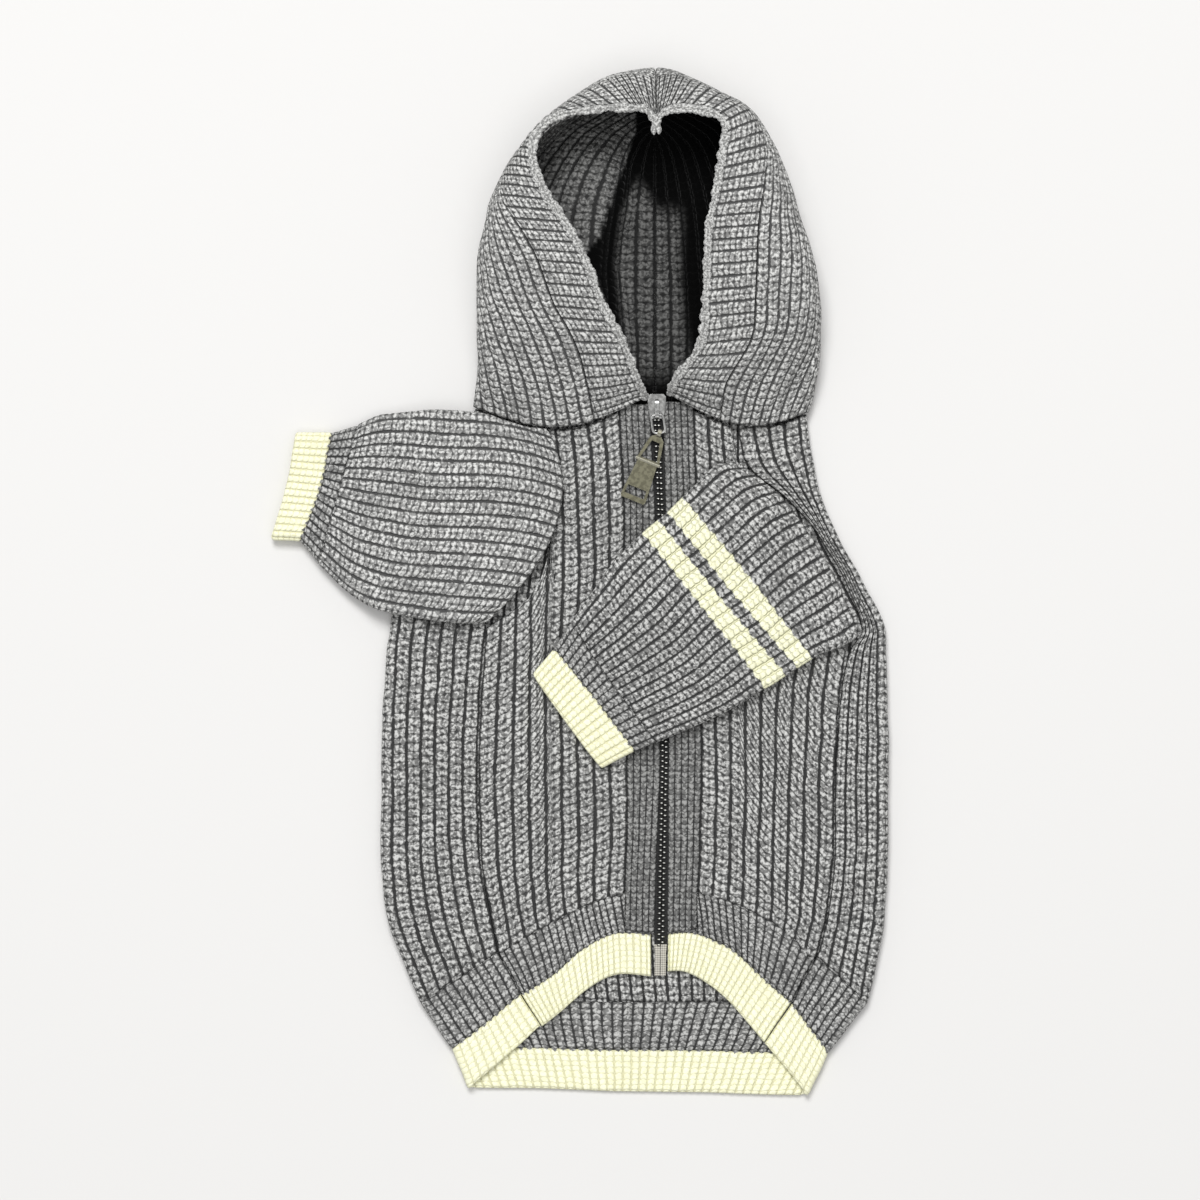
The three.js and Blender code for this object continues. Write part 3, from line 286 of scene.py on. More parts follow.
def read_row(table, t):
    """A smooth reading of a table, where t counts rows."""
    last = len(table) - 1
    t = clamp(t, 0, last)
    i = min(int(t), max(last - 1, 0))
    f = t - i
    p0, p1, p2, p3 = (table[clamp(k, 0, last)] for k in (i - 1, i, i + 1, i + 2))
    out = {}
    for key in p1:
        a = 2 * p1[key]
        b = p2[key] - p0[key]
        c = 2 * p0[key] - 5 * p1[key] + 4 * p2[key] - p3[key]
        d = -p0[key] + 3 * p1[key] - 3 * p2[key] + p3[key]
        out[key] = 0.5 * (a + f * (b + f * (c + f * d)))
    return out


def look_up(table, key, value_key, value):
    """A straight-line reading of one column against another."""
    rows = sorted(table, key=lambda row: row[key])
    return float(np.interp(value, [row[key] for row in rows], [row[value_key] for row in rows]))


def zip_x(y):
    return look_up(ZIP_LINE, "y", "x", y)


def zip_gap(y):
    """Half the gap between the plackets, where the teeth show."""
    return float(np.interp(y, [-142, -106, -78, 0, 60], [2.6, 2.3, 1.6, 1.8, 2.4]))


def neck_y(x):
    """The front part of the neck seam."""
    row = RIGHT_HOOD_ROWS[0] if x < HOOD_SPINE else LEFT_HOOD_ROWS[0]
    inward = clamp(abs(x - row["outX"]) / row["reach"], 0, 1)
    level = lerp(row["outY"], HOOD_FOOT + row["lean"], inward)
    return level - row["sag"] * math.sin(math.pi * inward)


def back_point(table, u, v):
    """The back's outer face: left side strip, fold, underside, fold and right strip."""
    r = read_row(table, v)
    radius = r["rise"] / 2
    on_left = u <= 2
    side = "L" if on_left else "R"
    seam = (r[f"seam{side}X"], r[f"seam{side}Y"])
    fold = (r[f"fold{side}X"], r[f"fold{side}Y"])
    length = math.hypot(seam[0] - fold[0], seam[1] - fold[1])
    direction = ((seam[0] - fold[0]) / length, (seam[1] - fold[1]) / length)
    if 2 < u < 3:
        share = u - 2
        x = lerp(r["foldLX"] + radius, r["foldRX"] - radius, share)
        return (x, lerp(r["foldLY"], r["foldRY"], share), 0.0)
    s = u if on_left else 5 - u
    if s < 1:
        reach = lerp(length, radius, s)
        height = lerp(LAYER_TOP, r["rise"], s * s * (3 - 2 * s))
        x = fold[0] + direction[0] * reach
        y = min(fold[1] + direction[1] * reach, neck_y(x) - SEAM)
        return (x, y, height)
    angle = math.pi * (s - 1)
    reach = radius * (1 - math.sin(angle))
    flat = (1 - math.cos(angle)) / 2
    dx = lerp(direction[0], math.copysign(1, direction[0]), flat)
    dy = lerp(direction[1], 0, flat)
    return (fold[0] + dx * reach, fold[1] + dy * reach, radius * (1 + math.cos(angle)))


SIDES = {
    "right": {"hand": -1, "hem": RIGHT_HEM, "seam": RIGHT_SEAM_LINE, "top": RIGHT_FRONT_TOP},
    "left": {"hand": 1, "hem": LEFT_HEM, "seam": LEFT_SEAM_LINE, "top": LEFT_FRONT_TOP},
}
for _side in SIDES.values():
    _readings = [read_row(_side["hem"], t / HEM_READINGS) for t in range(4 * HEM_READINGS + 1)]
    _side["waist"] = [{"x": row["waistX"], "y": row["waistY"]} for row in _readings]


def front_point(side, part, v):
    """A front: part runs from the side seam to the placket, v from waistband to shoulder."""
    hand = side["hand"]

    def placket_x(y):
        return zip_x(y) + hand * (ZIP_HALF + PLACKET + 1.5 * SEAM)

    def seam_x(y):
        return look_up(side["seam"], "y", "x", y)

    bottom_x = lerp(seam_x(BAND_LEVEL), placket_x(BAND_LEVEL), part)
    bottom = look_up(side["waist"], "x", "y", bottom_x)
    top_x = lerp(seam_x(SHOULDER_LEVEL), placket_x(SHOULDER_LEVEL), part)
    top = min(look_up(side["top"], "part", "y", part), neck_y(top_x) - SEAM)
    y = lerp(bottom, top, v)
    return (lerp(seam_x(y), placket_x(y), part), y, LAYER_TOP)


def hem_point(side, part, v):
    """The waistband (v up to 1) and the light edge (v up to 2) of a front."""
    row = read_row(side["hem"], part * 4)
    start, end = ("waist", "edge") if v < 1 else ("edge", "hem")
    share = v if v < 1 else v - 1
    x = lerp(row[start + "X"], row[end + "X"], share)
    y = lerp(row[start + "Y"], row[end + "Y"], share)
    hand = side["hand"]
    inset = ZIP_HALF + SEAM + (PLACKET if y > ZIP_CUT else 0)
    edge = zip_x(y) + hand * inset
    return (min(x, edge) if hand < 0 else max(x, edge), y, LAYER_TOP)


def tube_point(table, u, v):
    """A flattened sleeve: u up to 0.5 is its upper face."""
    r = read_row(table, v)
    half = (r["over"] - r["under"]) / 2
    width = math.hypot(r["bX"] - r["aX"], r["bY"] - r["aY"])
    arc = math.pi / 2 * half
    flat = width - 2 * half
    on_top = u <= 0.5
    s = (2 * u if on_top else 2 - 2 * u) * (2 * arc + flat)
    if s < arc:
        reach = half * (1 - math.cos(s / half))
        lift = half * math.sin(s / half)
    elif s > arc + flat:
        left = 2 * arc + flat - s
        reach = width - half * (1 - math.cos(left / half))
        lift = half * math.sin(left / half)
    else:
        reach = half + s - arc
        lift = half
    q = reach / width
    height = (r["over"] + r["under"]) / 2 + (lift if on_top else -lift)
    bow = 4 * q * (1 - q)
    under = (r["over"] - height) / (r["over"] - r["under"])
    x = lerp(r["aX"], r["bX"], q) + (r["mX"] - (r["aX"] + r["bX"]) / 2) * bow + r["backX"] * under
    y = lerp(r["aY"], r["bY"], q) + (r["mY"] - (r["aY"] + r["bY"]) / 2) * bow + r["backY"] * under
    if RIGHT_HOOD_ROWS[0]["outX"] < x < 0:
        y = min(y, neck_y(x) - HOOD_CLEARANCE)
    return (x, y, height)


def hood_section(table, v):
    """Points of one upright section of the hood, from the face opening to the back seam."""
    r = read_row(table, v)
    span = math.hypot(HOOD_SPINE - r["outX"], r["spineY"] - r["outY"])
    a, b = (r["reach"], r["lip"]), (r["reach"] * 0.45, r["crest"] + 1)
    c, d = (0, r["crest"]), (0, r["waist"])
    flat = []
    for t in np.linspace(0, 1, ARCH_POINTS):
        weights = ((1 - t) ** 3, 3 * t * (1 - t) ** 2, 3 * t * t * (1 - t), t ** 3)
        flat.append([sum(w * p[k] for w, p in zip(weights, (a, b, c, d))) for k in (0, 1)])
    for angle in np.linspace(0, math.pi / 2, CURL_POINTS)[1:]:
        flat.append([CURL_WIDTH * (1 - math.cos(angle)), r["waist"] * (1 - math.sin(angle))])
    turn_end = len(flat) - 1
    for p in np.linspace(0, 1, FLOOR_POINTS)[1:]:
        x = lerp(CURL_WIDTH, span, p)
        up = (1 - math.cos(math.pi * clamp((x - CURL_WIDTH) / (r["pleatAt"] - CURL_WIDTH), 0, 1))) / 2
        down = (1 + math.cos(math.pi * clamp((x - r["pleatAt"]) / PLEAT_FADE, 0, 1))) / 2
        flat.append([x, r["pleat"] * up * down])
    flat = np.array(flat)
    length = np.concatenate([[0], np.cumsum(np.hypot(*np.diff(flat, axis=0).T))])
    upper = np.arange(len(flat)) <= turn_end - (CURL_POINTS - 1)
    share = np.clip(flat[:, 0] / r["reach"], 0, 1)
    shift = upper * (r["lean"] * share - r["sag"] * np.sin(math.pi * share))
    x = r["outX"] + (HOOD_SPINE - r["outX"]) / span * flat[:, 0]
    y = r["outY"] + (r["spineY"] - r["outY"]) / span * flat[:, 0] + shift
    marks = (0, BRIM_WIDTH, length[turn_end], length[-1])
    return np.stack([x, y, flat[:, 1]], axis=1), length, marks


def hood_row(table, us, v):
    """Where a row of the hood runs: u up to 1 is the brim, up to 2 the side, up to 3 the underside."""
    points, length, marks = hood_section(table, v)
    s = np.interp(us, (0, 1, 2, 3), marks)
    return np.stack([np.interp(s, length, points[:, k]) for k in range(3)], axis=1)


def wander(points):
    """Moves cloth a little in its own plane, more so away from the zip, so no rib is ruled."""
    out = points.copy()
    flat = out.reshape(-1, 3)
    for p in flat:
        place = Vector((p[0] * 0.03, p[1] * 0.03, 0.3))
        fine = Vector((p[0] * 0.09, p[1] * 0.09, 4.1))
        away = clamp(abs(p[0] - HOOD_SPINE - 2) / 22, 0, 1)
        p[0] += away * (1.1 * noise.noise(place) + 0.45 * noise.noise(fine))
        p[1] += away * 0.5 * noise.noise(place + Vector((7, 3, 1)))
    return out


def fold_lift(points, folds):
    """Height that the folds add at each point, none near the table."""
    x, y, z = points[..., 0], points[..., 1], points[..., 2]
    lift = np.zeros_like(x)
    for f in folds:
        run = np.array([f["toX"] - f["fromX"], f["toY"] - f["fromY"]])
        long = np.hypot(*run)
        along = ((x - f["fromX"]) * run[0] + (y - f["fromY"]) * run[1]) / long ** 2
        off = ((x - f["fromX"]) * run[1] - (y - f["fromY"]) * run[0]) / long
        bend = 0.12 * long * np.sin(math.pi * np.clip(along, 0, 1)) * 0.35
        ends = np.clip(np.minimum(along + 0.15, 1.15 - along) / 0.3, 0, 1)
        lift += f["height"] * np.exp(-(((off + bend) / f["width"]) ** 2)) * ends
    return lift * np.clip((z - 4.2) / 2.0, 0, 1)


def spread(low, high, count, first, last):
    """Places from low to high, with extra ones near both ends where the edge is rounded."""
    inner = np.linspace(low + first, high - last, count)
    start = [low, low + 0.12 * first, low + 0.45 * first]
    end = [high - 0.45 * last, high - 0.12 * last, high]
    return np.concatenate([start, inner, end])


def rib_columns(spans):
    """Columns across ribbed spans: place, rib count so far, and how much each face stands out."""
    us, ribs, outer, inner = [], [], [], []
    done = 0
    for low, high, count, rise, inner_rise in spans:
        for k in range(count):
            for f in RIB_COLUMNS:
                us.append(lerp(low, high, (k + f) / count))
                ribs.append(done + k + f)
                shape = 1 - abs(2 * f - 1) ** 2.6
                outer.append(rise * shape)
                inner.append(inner_rise * shape)
        done += count
    us.append(spans[-1][1])
    ribs.append(done)
    outer.append(0.0)
    inner.append(0.0)
    return np.array(us), np.array(ribs), np.array(outer), np.array(inner)


def plumpness(rib, v):
    """How far a rib stands out at one place, so that no two are alike."""
    return 0.84 + 0.32 * noise.noise(Vector((rib * 0.9, v * 1.7 + 11, 2.0)))


def knit_shell(name, row_at, spans, reach, row_count, course, wall=WALL, closed=False, turned=False,
               folds=(), side_rim=0.9, rims=(0.5, 0.5), root=None, trim=None, shade=None):
    """A closed knitted shell on a form, with its ribs, rounded rims and a stitch map."""
    us, ribs, rise, inner_rise = rib_columns(spans)
    low, high = reach
    line = [row_at(us[len(us) // 2:][:1], v)[0] for v in np.linspace(low, high, 24)]
    scale = (high - low) / np.linalg.norm(np.diff(line, axis=0), axis=1).sum()
    vs = spread(low, high, row_count, rims[0] * scale, rims[1] * scale)
    base = wander(np.array([row_at(us, v) for v in vs]))
    base[..., 2] += fold_lift(base, folds)
    dv = np.gradient(base, axis=0)
    if closed:
        ring = np.concatenate([base[:, -2:-1], base, base[:, 1:2]], axis=1)
        du = (ring[:, 2:] - ring[:, :-2]) / 2
    else:
        du = np.gradient(base, axis=1)
    normal = np.cross(du, dv)
    normal /= np.linalg.norm(normal, axis=2, keepdims=True) + 1e-12
    if turned:
        normal = -normal
    run = np.cumsum(np.linalg.norm(np.diff(base, axis=0), axis=2), axis=0)
    run = np.concatenate([np.zeros((1, len(us))), run])
    near = np.minimum(run / rims[0], (run[-1] - run) / rims[1])
    if not closed:
        across = np.cumsum(np.linalg.norm(np.diff(base, axis=1), axis=2), axis=1)
        across = np.concatenate([np.zeros((len(vs), 1)), across], axis=1)
        near = np.minimum(near, np.minimum(across, across[:, -1:] - across) / side_rim)
    full = np.sqrt(1 - (1 - np.clip(near, 0, 1)) ** 2)[..., None]
    walls = [lerp(root, wall, clamp(v - low, 0, 1)) if root else wall for v in vs]
    thick = np.array(walls).reshape(-1, 1, 1)
    swell = np.array([[plumpness(rib, v) for rib in np.floor(ribs)] for v in vs])[..., None]
    outer = base + normal * (rise[None, :, None] * swell * full - thick * (1 - full) / 2)
    inner = base - normal * (thick * (1 + full) / 2 + inner_rise[None, :, None] * full)
    if trim:
        outer = trim(outer)
        inner = trim(inner)
    outer[..., 2] = np.maximum(outer[..., 2], 0.0)
    inner[..., 2] = np.maximum(inner[..., 2], INNER_LEVEL)
    return shell_mesh(name, outer, inner, ribs, vs, run / course, closed, shade)


def shell_mesh(name, outer, inner, ribs, vs, courses, closed, shade):
    """Joins an outer and an inner sheet into one mesh whose UV map counts ribs and courses."""
    rows, cols = outer.shape[:2]
    used = cols - 1 if closed else cols
    sheets = [sheet[:, :used].reshape(-1, 3) for sheet in (outer, inner)]
    shift = rows * used
    j, i = np.meshgrid(np.arange(rows - 1), np.arange(cols - 1), indexing="ij")
    corners = (j * used + i % used, j * used + (i + 1) % used,
               (j + 1) * used + (i + 1) % used, (j + 1) * used + i % used)
    faces = np.stack(corners, axis=-1).reshape(-1, 4)
    middle = [int(np.argmin(abs(ribs - (math.floor(r) + 0.5)))) for r in ribs[:-1]]
    low, high = courses[:-1, middle], courses[1:, middle]
    left = np.broadcast_to(ribs[:-1], low.shape)
    right = np.broadcast_to(ribs[1:], low.shape)
    uv = np.stack([left, low, right, low, right, high, left, high], axis=-1).reshape(-1, 4, 2)
    all_faces = [faces, faces[:, ::-1] + shift]
    all_uv = [uv, uv[:, ::-1]]
    across = np.arange(cols - 1)
    for row in (0, rows - 1):
        p, q = row * used + across % used, row * used + (across + 1) % used
        quad = np.stack([p, p + shift, q + shift, q], axis=-1)
        all_faces.append(quad[:, ::-1] if row else quad)
        pair = np.stack([ribs[:-1], courses[row, middle]], axis=-1)
        all_uv.append(np.repeat(pair[:, None], 4, axis=1))
    for col in () if closed else (0, cols - 1):
        p, q = np.arange(rows - 1) * used + col, np.arange(1, rows) * used + col
        quad = np.stack([p, q, q + shift, p + shift], axis=-1)
        all_faces.append(quad[:, ::-1] if col else quad)
        pair = np.stack([np.full(rows - 1, ribs[col]), courses[:-1, col]], axis=-1)
        all_uv.append(np.repeat(pair[:, None], 4, axis=1))
    faces = np.concatenate(all_faces)
    mesh = bpy.data.meshes.new(name)
    mesh.from_pydata((np.concatenate(sheets) * MM).tolist(), [], faces.tolist())
    uv_map = np.concatenate(all_uv).astype(np.float32).ravel()
    mesh.uv_layers.new(name="stitches").data.foreach_set("uv", uv_map)
    mesh.polygons.foreach_set("use_smooth", np.ones(len(faces), dtype=bool))
    row_marks = np.tile(np.repeat(vs, used), 2)
    mesh.attributes.new("row", "FLOAT", "POINT").data.foreach_set("value", row_marks.astype(np.float32))
    # Painted shadow: values for the inner sheet, kept as the shade attribute that darkens its colour.
    if shade:
        depth = np.concatenate([np.zeros(shift), shade(sheets[1])])
        mesh.attributes.new("shade", "FLOAT", "POINT").data.foreach_set("value", depth.astype(np.float32))
    mesh.update()
    if mesh_volume(mesh) < 0:
        mesh.flip_normals()
    obj = add_object(name, mesh)
    spans = [np.linalg.norm(np.diff(sheet, axis=1), axis=2).sum(axis=1).max() for sheet in (outer, inner)]
    tall = np.linalg.norm(np.diff((outer + inner) / 2, axis=0), axis=2).sum(axis=0).max()
    area = 0
    for sheet in (outer, inner):
        du = np.diff(sheet, axis=1)[:-1]
        dv = np.diff(sheet, axis=0)[:, :-1]
        area += np.linalg.norm(np.cross(du, dv), axis=2).sum() / 2
    obj["cut"] = (float(np.mean(spans)) * MM, float(tall) * MM, float(area) * MM * MM)
    return obj


def add_object(name, data):
    """Puts a mesh, a curve, a light or a camera into the scene."""
    obj = bpy.data.objects.new(name, data)
    bpy.context.scene.collection.objects.link(obj)
    return obj


def mesh_volume(mesh):
    """Signed volume, to tell whether the faces point out."""
    mesh.calc_loop_triangles()
    points = np.empty(len(mesh.vertices) * 3)
    mesh.vertices.foreach_get("co", points)
    points = points.reshape(-1, 3)
    corners = np.empty(len(mesh.loop_triangles) * 3, dtype=np.int32)
    mesh.loop_triangles.foreach_get("vertices", corners)
    a, b, c = points[corners.reshape(-1, 3)].transpose(1, 0, 2)
    return float(np.einsum("ij,ij->i", a, np.cross(b, c)).sum())


class Value:
    """A shader value, so that sums on it add Math nodes."""

    def __init__(self, finish, socket):
        self.finish = finish
        self.socket = socket

    def math(self, operation, *others, first=None):
        values = [self if first is None else first, *others]
        node = self.finish.add("ShaderNodeMath", {"operation": operation}, *values)
        return node[0]

    def __add__(self, other):
        return self.math("ADD", other)

    def __radd__(self, other):
        return self.math("ADD", other)

    def __sub__(self, other):
        return self.math("SUBTRACT", other)

    def __rsub__(self, other):
        return self.math("SUBTRACT", self, first=other)

    def __mul__(self, other):
        return self.math("MULTIPLY", other)

    def __rmul__(self, other):
        return self.math("MULTIPLY", other)

    def __truediv__(self, other):
        return self.math("DIVIDE", other)

    def __abs__(self):
        return self.math("ABSOLUTE")

    def fraction(self):
        return self.math("FRACT")

    def smooth(self, low, high):
        """0 below low, 1 above high, and soft between."""
        settings = {"interpolation_type": "SMOOTHSTEP", "clamp": True}
        return self.finish.add("ShaderNodeMapRange", settings, self, low, high, 0.0, 1.0)[0]


class Finish:
    """One material's node tree, started with its surface shader."""

    def __init__(self, name, **surface):
        self.material = bpy.data.materials.new(name)
        self.material.use_nodes = True
        self.tree = self.material.node_tree
        self.shader = self.tree.nodes["Principled BSDF"]
        for socket, value in surface.items():
            self.shader.inputs[socket.replace("_", " ")].default_value = value

    def add(self, kind, settings=None, *values, **named):
        """Adds a node: its settings first, then the values or links of its sockets."""
        node = self.tree.nodes.new(kind)
        for key, value in (settings or {}).items():
            setattr(node, key, value)
        pairs = list(zip(node.inputs, values))
        pairs += [(node.inputs[key.replace("_", " ")], value) for key, value in named.items()]
        for socket, value in pairs:
            if value is None:
                continue
            if isinstance(value, Value):
                self.tree.links.new(value.socket, socket)
            else:
                socket.default_value = value
        return [Value(self, out) for out in node.outputs]

    def mix(self, factor, a, b):
        """A colour between a and b."""
        node = self.tree.nodes.new("ShaderNodeMix")
        node.data_type = "RGBA"
        for index, value in ((0, factor), (6, a), (7, b)):
            if isinstance(value, Value):
                self.tree.links.new(value.socket, node.inputs[index])
            elif index == 0:
                node.inputs[index].default_value = value
            else:
                node.inputs[index].default_value = (*value, 1.0)
        return Value(self, node.outputs[2])

    def feed(self, socket, value):
        self.tree.links.new(value.socket, self.shader.inputs[socket])

    def grain(self, place, scale, detail):
        """A noise value from 0 to 1."""
        return self.add("ShaderNodeTexNoise", None, Vector=place, Scale=scale, Detail=detail)[0]

    def bump(self, strength, depth, height):
        """Bumps the surface by a height value, over a depth in millimetres."""
        node = self.add("ShaderNodeBump", None, Strength=strength, Distance=depth * MM, Height=height)
        self.feed("Normal", node[0])


class Stitches:
    """What the stitch map says at each point of the cloth: stitches, grooves, flecks and clouds.

    leg is where a stitch stands in its half of the rib, 0 in the middle, and slant tilts it.
    """

    def __init__(self, finish, leg, slant):
        place = finish.add("ShaderNodeTexCoord")[3]
        parts = finish.add("ShaderNodeSeparateXYZ", None, finish.add("ShaderNodeTexCoord")[2])
        drift = finish.grain(place, 260.0, 1.0)
        sway = finish.grain(place, 430.0, 1.0)
        self.course = parts[1] + (drift - 0.5) * 0.8
        self.off = abs(parts[0].fraction() - 0.5) * 2.0 + (sway - 0.5) * 0.4
        along = abs((self.course - self.off * slant).fraction() * 2.0 - 1.0)
        across = abs(self.off - leg) / (1.0 - leg)
        plump = 1.0 - (along * along * 0.75 + across * across * 0.5)
        self.height = plump.smooth(-0.1, 0.85) * (1.0 - self.off.smooth(0.74, 1.0))
        lines = finish.add("ShaderNodeCombineXYZ", None, parts[0] * 4.0, parts[1] * 0.25)[0]
        self.streak = finish.grain(lines, 1.0, 1.0)
        self.fibre = finish.grain(place, 1500.0, 2.0)
        self.fleck = finish.grain(place, 900.0, 1.0)
        self.tone = finish.grain(place, 330.0, 0.0)
        self.cloud = finish.grain(place, 40.0, 2.0)

    def colour(self, finish, yarn, flecks, groove):
        """The colour of one yarn over these stitches, with painted shade where the stitches sink and in the
        grooves between the ribs.
        """
        light, mid, dark = yarn
        # Painted shade: the yarn turns to its dark colour where the stitches sink.
        colour = finish.mix(self.height.smooth(0.02, 0.6), dark, mid)
        colour = finish.mix(self.tone.smooth(0.35, 0.7) * 0.3, colour, dark)
        colour = finish.mix(self.streak.smooth(0.48, 0.75) * 0.35, colour, dark)
        bright = self.fleck.smooth(0.42, 0.62) * self.height.smooth(0.15, 0.75) * flecks
        colour = finish.mix(bright, colour, light)
        # Painted shade in the grooves between the ribs, darker than the yarn's dark colour.
        between = self.off.smooth(0.74, 0.98) * (self.fibre * 0.5 + 0.6)
        colour = finish.mix(between * groove, colour, tuple(c * 0.7 for c in dark))
        return finish.mix(self.cloud.smooth(0.42, 0.8) * 0.25, colour, dark)


def knit_finish(name, yarns, depth, flecks, grooves, leg=0.5, slant=0.3, mask=None):
    """Knitted wool of one yarn, or of two where a mask says which; grooves says how strongly painted shade
    darkens each yarn's grooves.
    """
    finish = Finish(name, Roughness=0.95, Sheen_Weight=0.03, Specular_IOR_Level=0.1)
    stitches = Stitches(finish, leg, slant)
    colours = [stitches.colour(finish, *parts) for parts in zip(yarns, flecks, grooves)]
    colour = finish.mix(mask(finish, stitches), *colours) if mask else colours[0]
    # Painted shadow: the shade attribute, set inside the hood, darkens the colour towards black.
    shade = finish.add("ShaderNodeAttribute", {"attribute_name": "shade"})[2]
    finish.feed("Base Color", finish.mix(shade, colour, (0.0, 0.0, 0.0)))
    relief = stitches.height + stitches.fibre * 0.3
    finish.bump(0.9, depth, relief)
    return finish.material


def stripe_mask(finish, stitches):
    """1 on the light stripes of a sleeve, with the stepped edge of a change of yarn."""
    row = finish.add("ShaderNodeAttribute", {"attribute_name": "row"})[2]
    row = row + (stitches.off - 0.5) * 0.06 + (stitches.fibre - 0.5) * 0.08
    inside = 0.0
    for low, high in STRIPES:
        inside = row.smooth(low - 0.02, low + 0.02) * (1.0 - row.smooth(high - 0.02, high + 0.02)) + inside
    return inside


def edge_mask(finish, stitches):
    """1 on a light edge but for the first stitches, where the grey legs reach in."""
    start = 0.75 - stitches.off * 0.6 - stitches.streak * 0.5
    return (stitches.course + stitches.fibre * 0.3 - start).smooth(-0.1, 0.14)


def metal_finish(name, colour, bright, rough, grain=600.0):
    """Plated metal: duller on its flat faces, in patches, and with painted highlights on its sloped faces
    along the edges.
    """
    finish = Finish(name, Metallic=1.0)
    place = finish.add("ShaderNodeTexCoord")[3]
    patch = finish.grain(place, grain, 3.0)
    fine = finish.grain(place, grain * 5, 2.0)
    # Painted highlight: faces that slope, as on the bevelled edges, take the bright colour.
    normal = finish.add("ShaderNodeNewGeometry")[1]
    level = abs(finish.add("ShaderNodeSeparateXYZ", None, normal)[2])
    edge = level.smooth(0.2, 0.5) * (1.0 - level.smooth(0.93, 0.995))
    dull = tuple(c * 0.6 for c in colour)
    face = finish.mix(patch.smooth(0.42, 0.6), dull, colour)
    finish.feed("Base Color", finish.mix(edge, face, bright))
    finish.feed("Roughness", patch * 0.3 + rough)
    finish.bump(0.35, 0.05, fine)
    return finish.material


def tooth_finish(name, colour):
    """Blackened metal, with a painted highlight on the crowns of the teeth."""
    finish = Finish(name, Metallic=1.0)
    place = finish.add("ShaderNodeTexCoord")[3]
    height = finish.add("ShaderNodeSeparateXYZ", None, place)[2]
    grain = finish.grain(place, 1800.0, 2.0)
    # Painted highlight: the tops of the teeth, above about 6 mm, take the bright colour.
    painted_crown_highlight = (height * 1000.0 + grain * 0.5).smooth(5.9, 6.3)
    bright = tuple(min(1, c * 25) for c in colour)
    finish.feed("Base Color", finish.mix(painted_crown_highlight, colour, bright))
    finish.feed("Roughness", grain * 0.25 + 0.22)
    finish.bump(0.2, 0.04, grain)
    return finish.material


def yarn_thread(name, colour):
    """Bare yarn, seen close: fine fibres and a soft mottle."""
    finish = Finish(name, Roughness=0.9, Sheen_Weight=0.25)
    place = finish.add("ShaderNodeTexCoord")[3]
    fibre = finish.grain(place, 1300.0, 2.0)
    shade = tuple(c * 0.35 for c in colour)
    finish.feed("Base Color", finish.mix(fibre.smooth(0.4, 0.62), shade, colour))
    finish.bump(0.6, 0.3, fibre)
    return finish.material


def tape_finish(name, colour, dark):
    """Woven zip tape: fine cross threads."""
    finish = Finish(name, Roughness=0.85)
    place = finish.add("ShaderNodeTexCoord")[3]
    parts = finish.add("ShaderNodeSeparateXYZ", None, place)
    across = abs((parts[0] * 1400.0).fraction() - 0.5) * 2.0
    along = abs((parts[1] * 1100.0).fraction() - 0.5) * 2.0
    thread = across * 0.5 + along * 0.5
    finish.feed("Base Color", finish.mix(thread.smooth(0.2, 0.8), colour, dark))
    finish.bump(0.5, 0.15, thread)
    return finish.material


class YarnSettings(bpy.types.PropertyGroup):
    """Colours and sizes of the knitting."""

    grey_light: FloatVectorProperty(name="Light fleck", description="Lightest fibre of the grey yarn",
                                    subtype="COLOR", size=3, default=(0.555, 0.555, 0.54))
    grey_mid: FloatVectorProperty(name="Grey", description="Body of the grey yarn",
                                  subtype="COLOR", size=3, default=(0.205, 0.205, 0.20))
    # Painted shade between the stitches and in the grooves, and the darker random tone of the grey yarn.
    grey_dark: FloatVectorProperty(name="Shade", description="Grey between the stitches",
                                   subtype="COLOR", size=3, default=(0.048, 0.048, 0.048))
    cream_light: FloatVectorProperty(name="Cream light", description="Lightest fibre of the cream yarn",
                                     subtype="COLOR", size=3, default=(0.90, 0.90, 0.71))
    cream_mid: FloatVectorProperty(name="Cream", description="Body of the cream yarn",
                                   subtype="COLOR", size=3, default=(0.85, 0.845, 0.60))
    # Painted shade between the cream stitches, and the darker random tone of the cream yarn.
    cream_dark: FloatVectorProperty(name="Cream shade", description="Cream between the stitches",
                                    subtype="COLOR", size=3, default=(0.66, 0.64, 0.42))
    rib_rise: FloatProperty(name="Rib rise", description="Height of a body rib over its groove, in mm",
                            default=1.1, min=0.2, max=2.0)
    fine_rise: FloatProperty(name="Fine rib rise", description="Height of a rib of the bands, in mm",
                             default=0.7, min=0.1, max=1.5)
    course: FloatProperty(name="Stitch height", description="Height of one course of the body, in mm",
                          default=3.3, min=1.0, max=5.0)
    fine_course: FloatProperty(name="Fine stitch height",
                               description="Height of one course of the bands, in mm",
                               default=2.3, min=1.0, max=5.0)
    seed: IntProperty(name="Seed", description="Seed of the small differences between stitches", default=7)


class ZipSettings(bpy.types.PropertyGroup):
    """Sizes and colours of the zip."""

    tooth_pitch: FloatProperty(name="Tooth pitch", description="Distance between teeth of one row, in mm",
                               default=2.1, min=1.0, max=4.0)
    tooth_colour: FloatVectorProperty(name="Teeth", description="Colour of the teeth", subtype="COLOR",
                                      size=3, default=(0.02, 0.02, 0.019))
    slider_colour: FloatVectorProperty(name="Slider", description="Colour of the slider and ring",
                                       subtype="COLOR", size=3, default=(0.14, 0.14, 0.137))
    tab_colour: FloatVectorProperty(name="Pull tab", description="Colour of the pull tab", subtype="COLOR",
                                    size=3, default=(0.095, 0.091, 0.064))


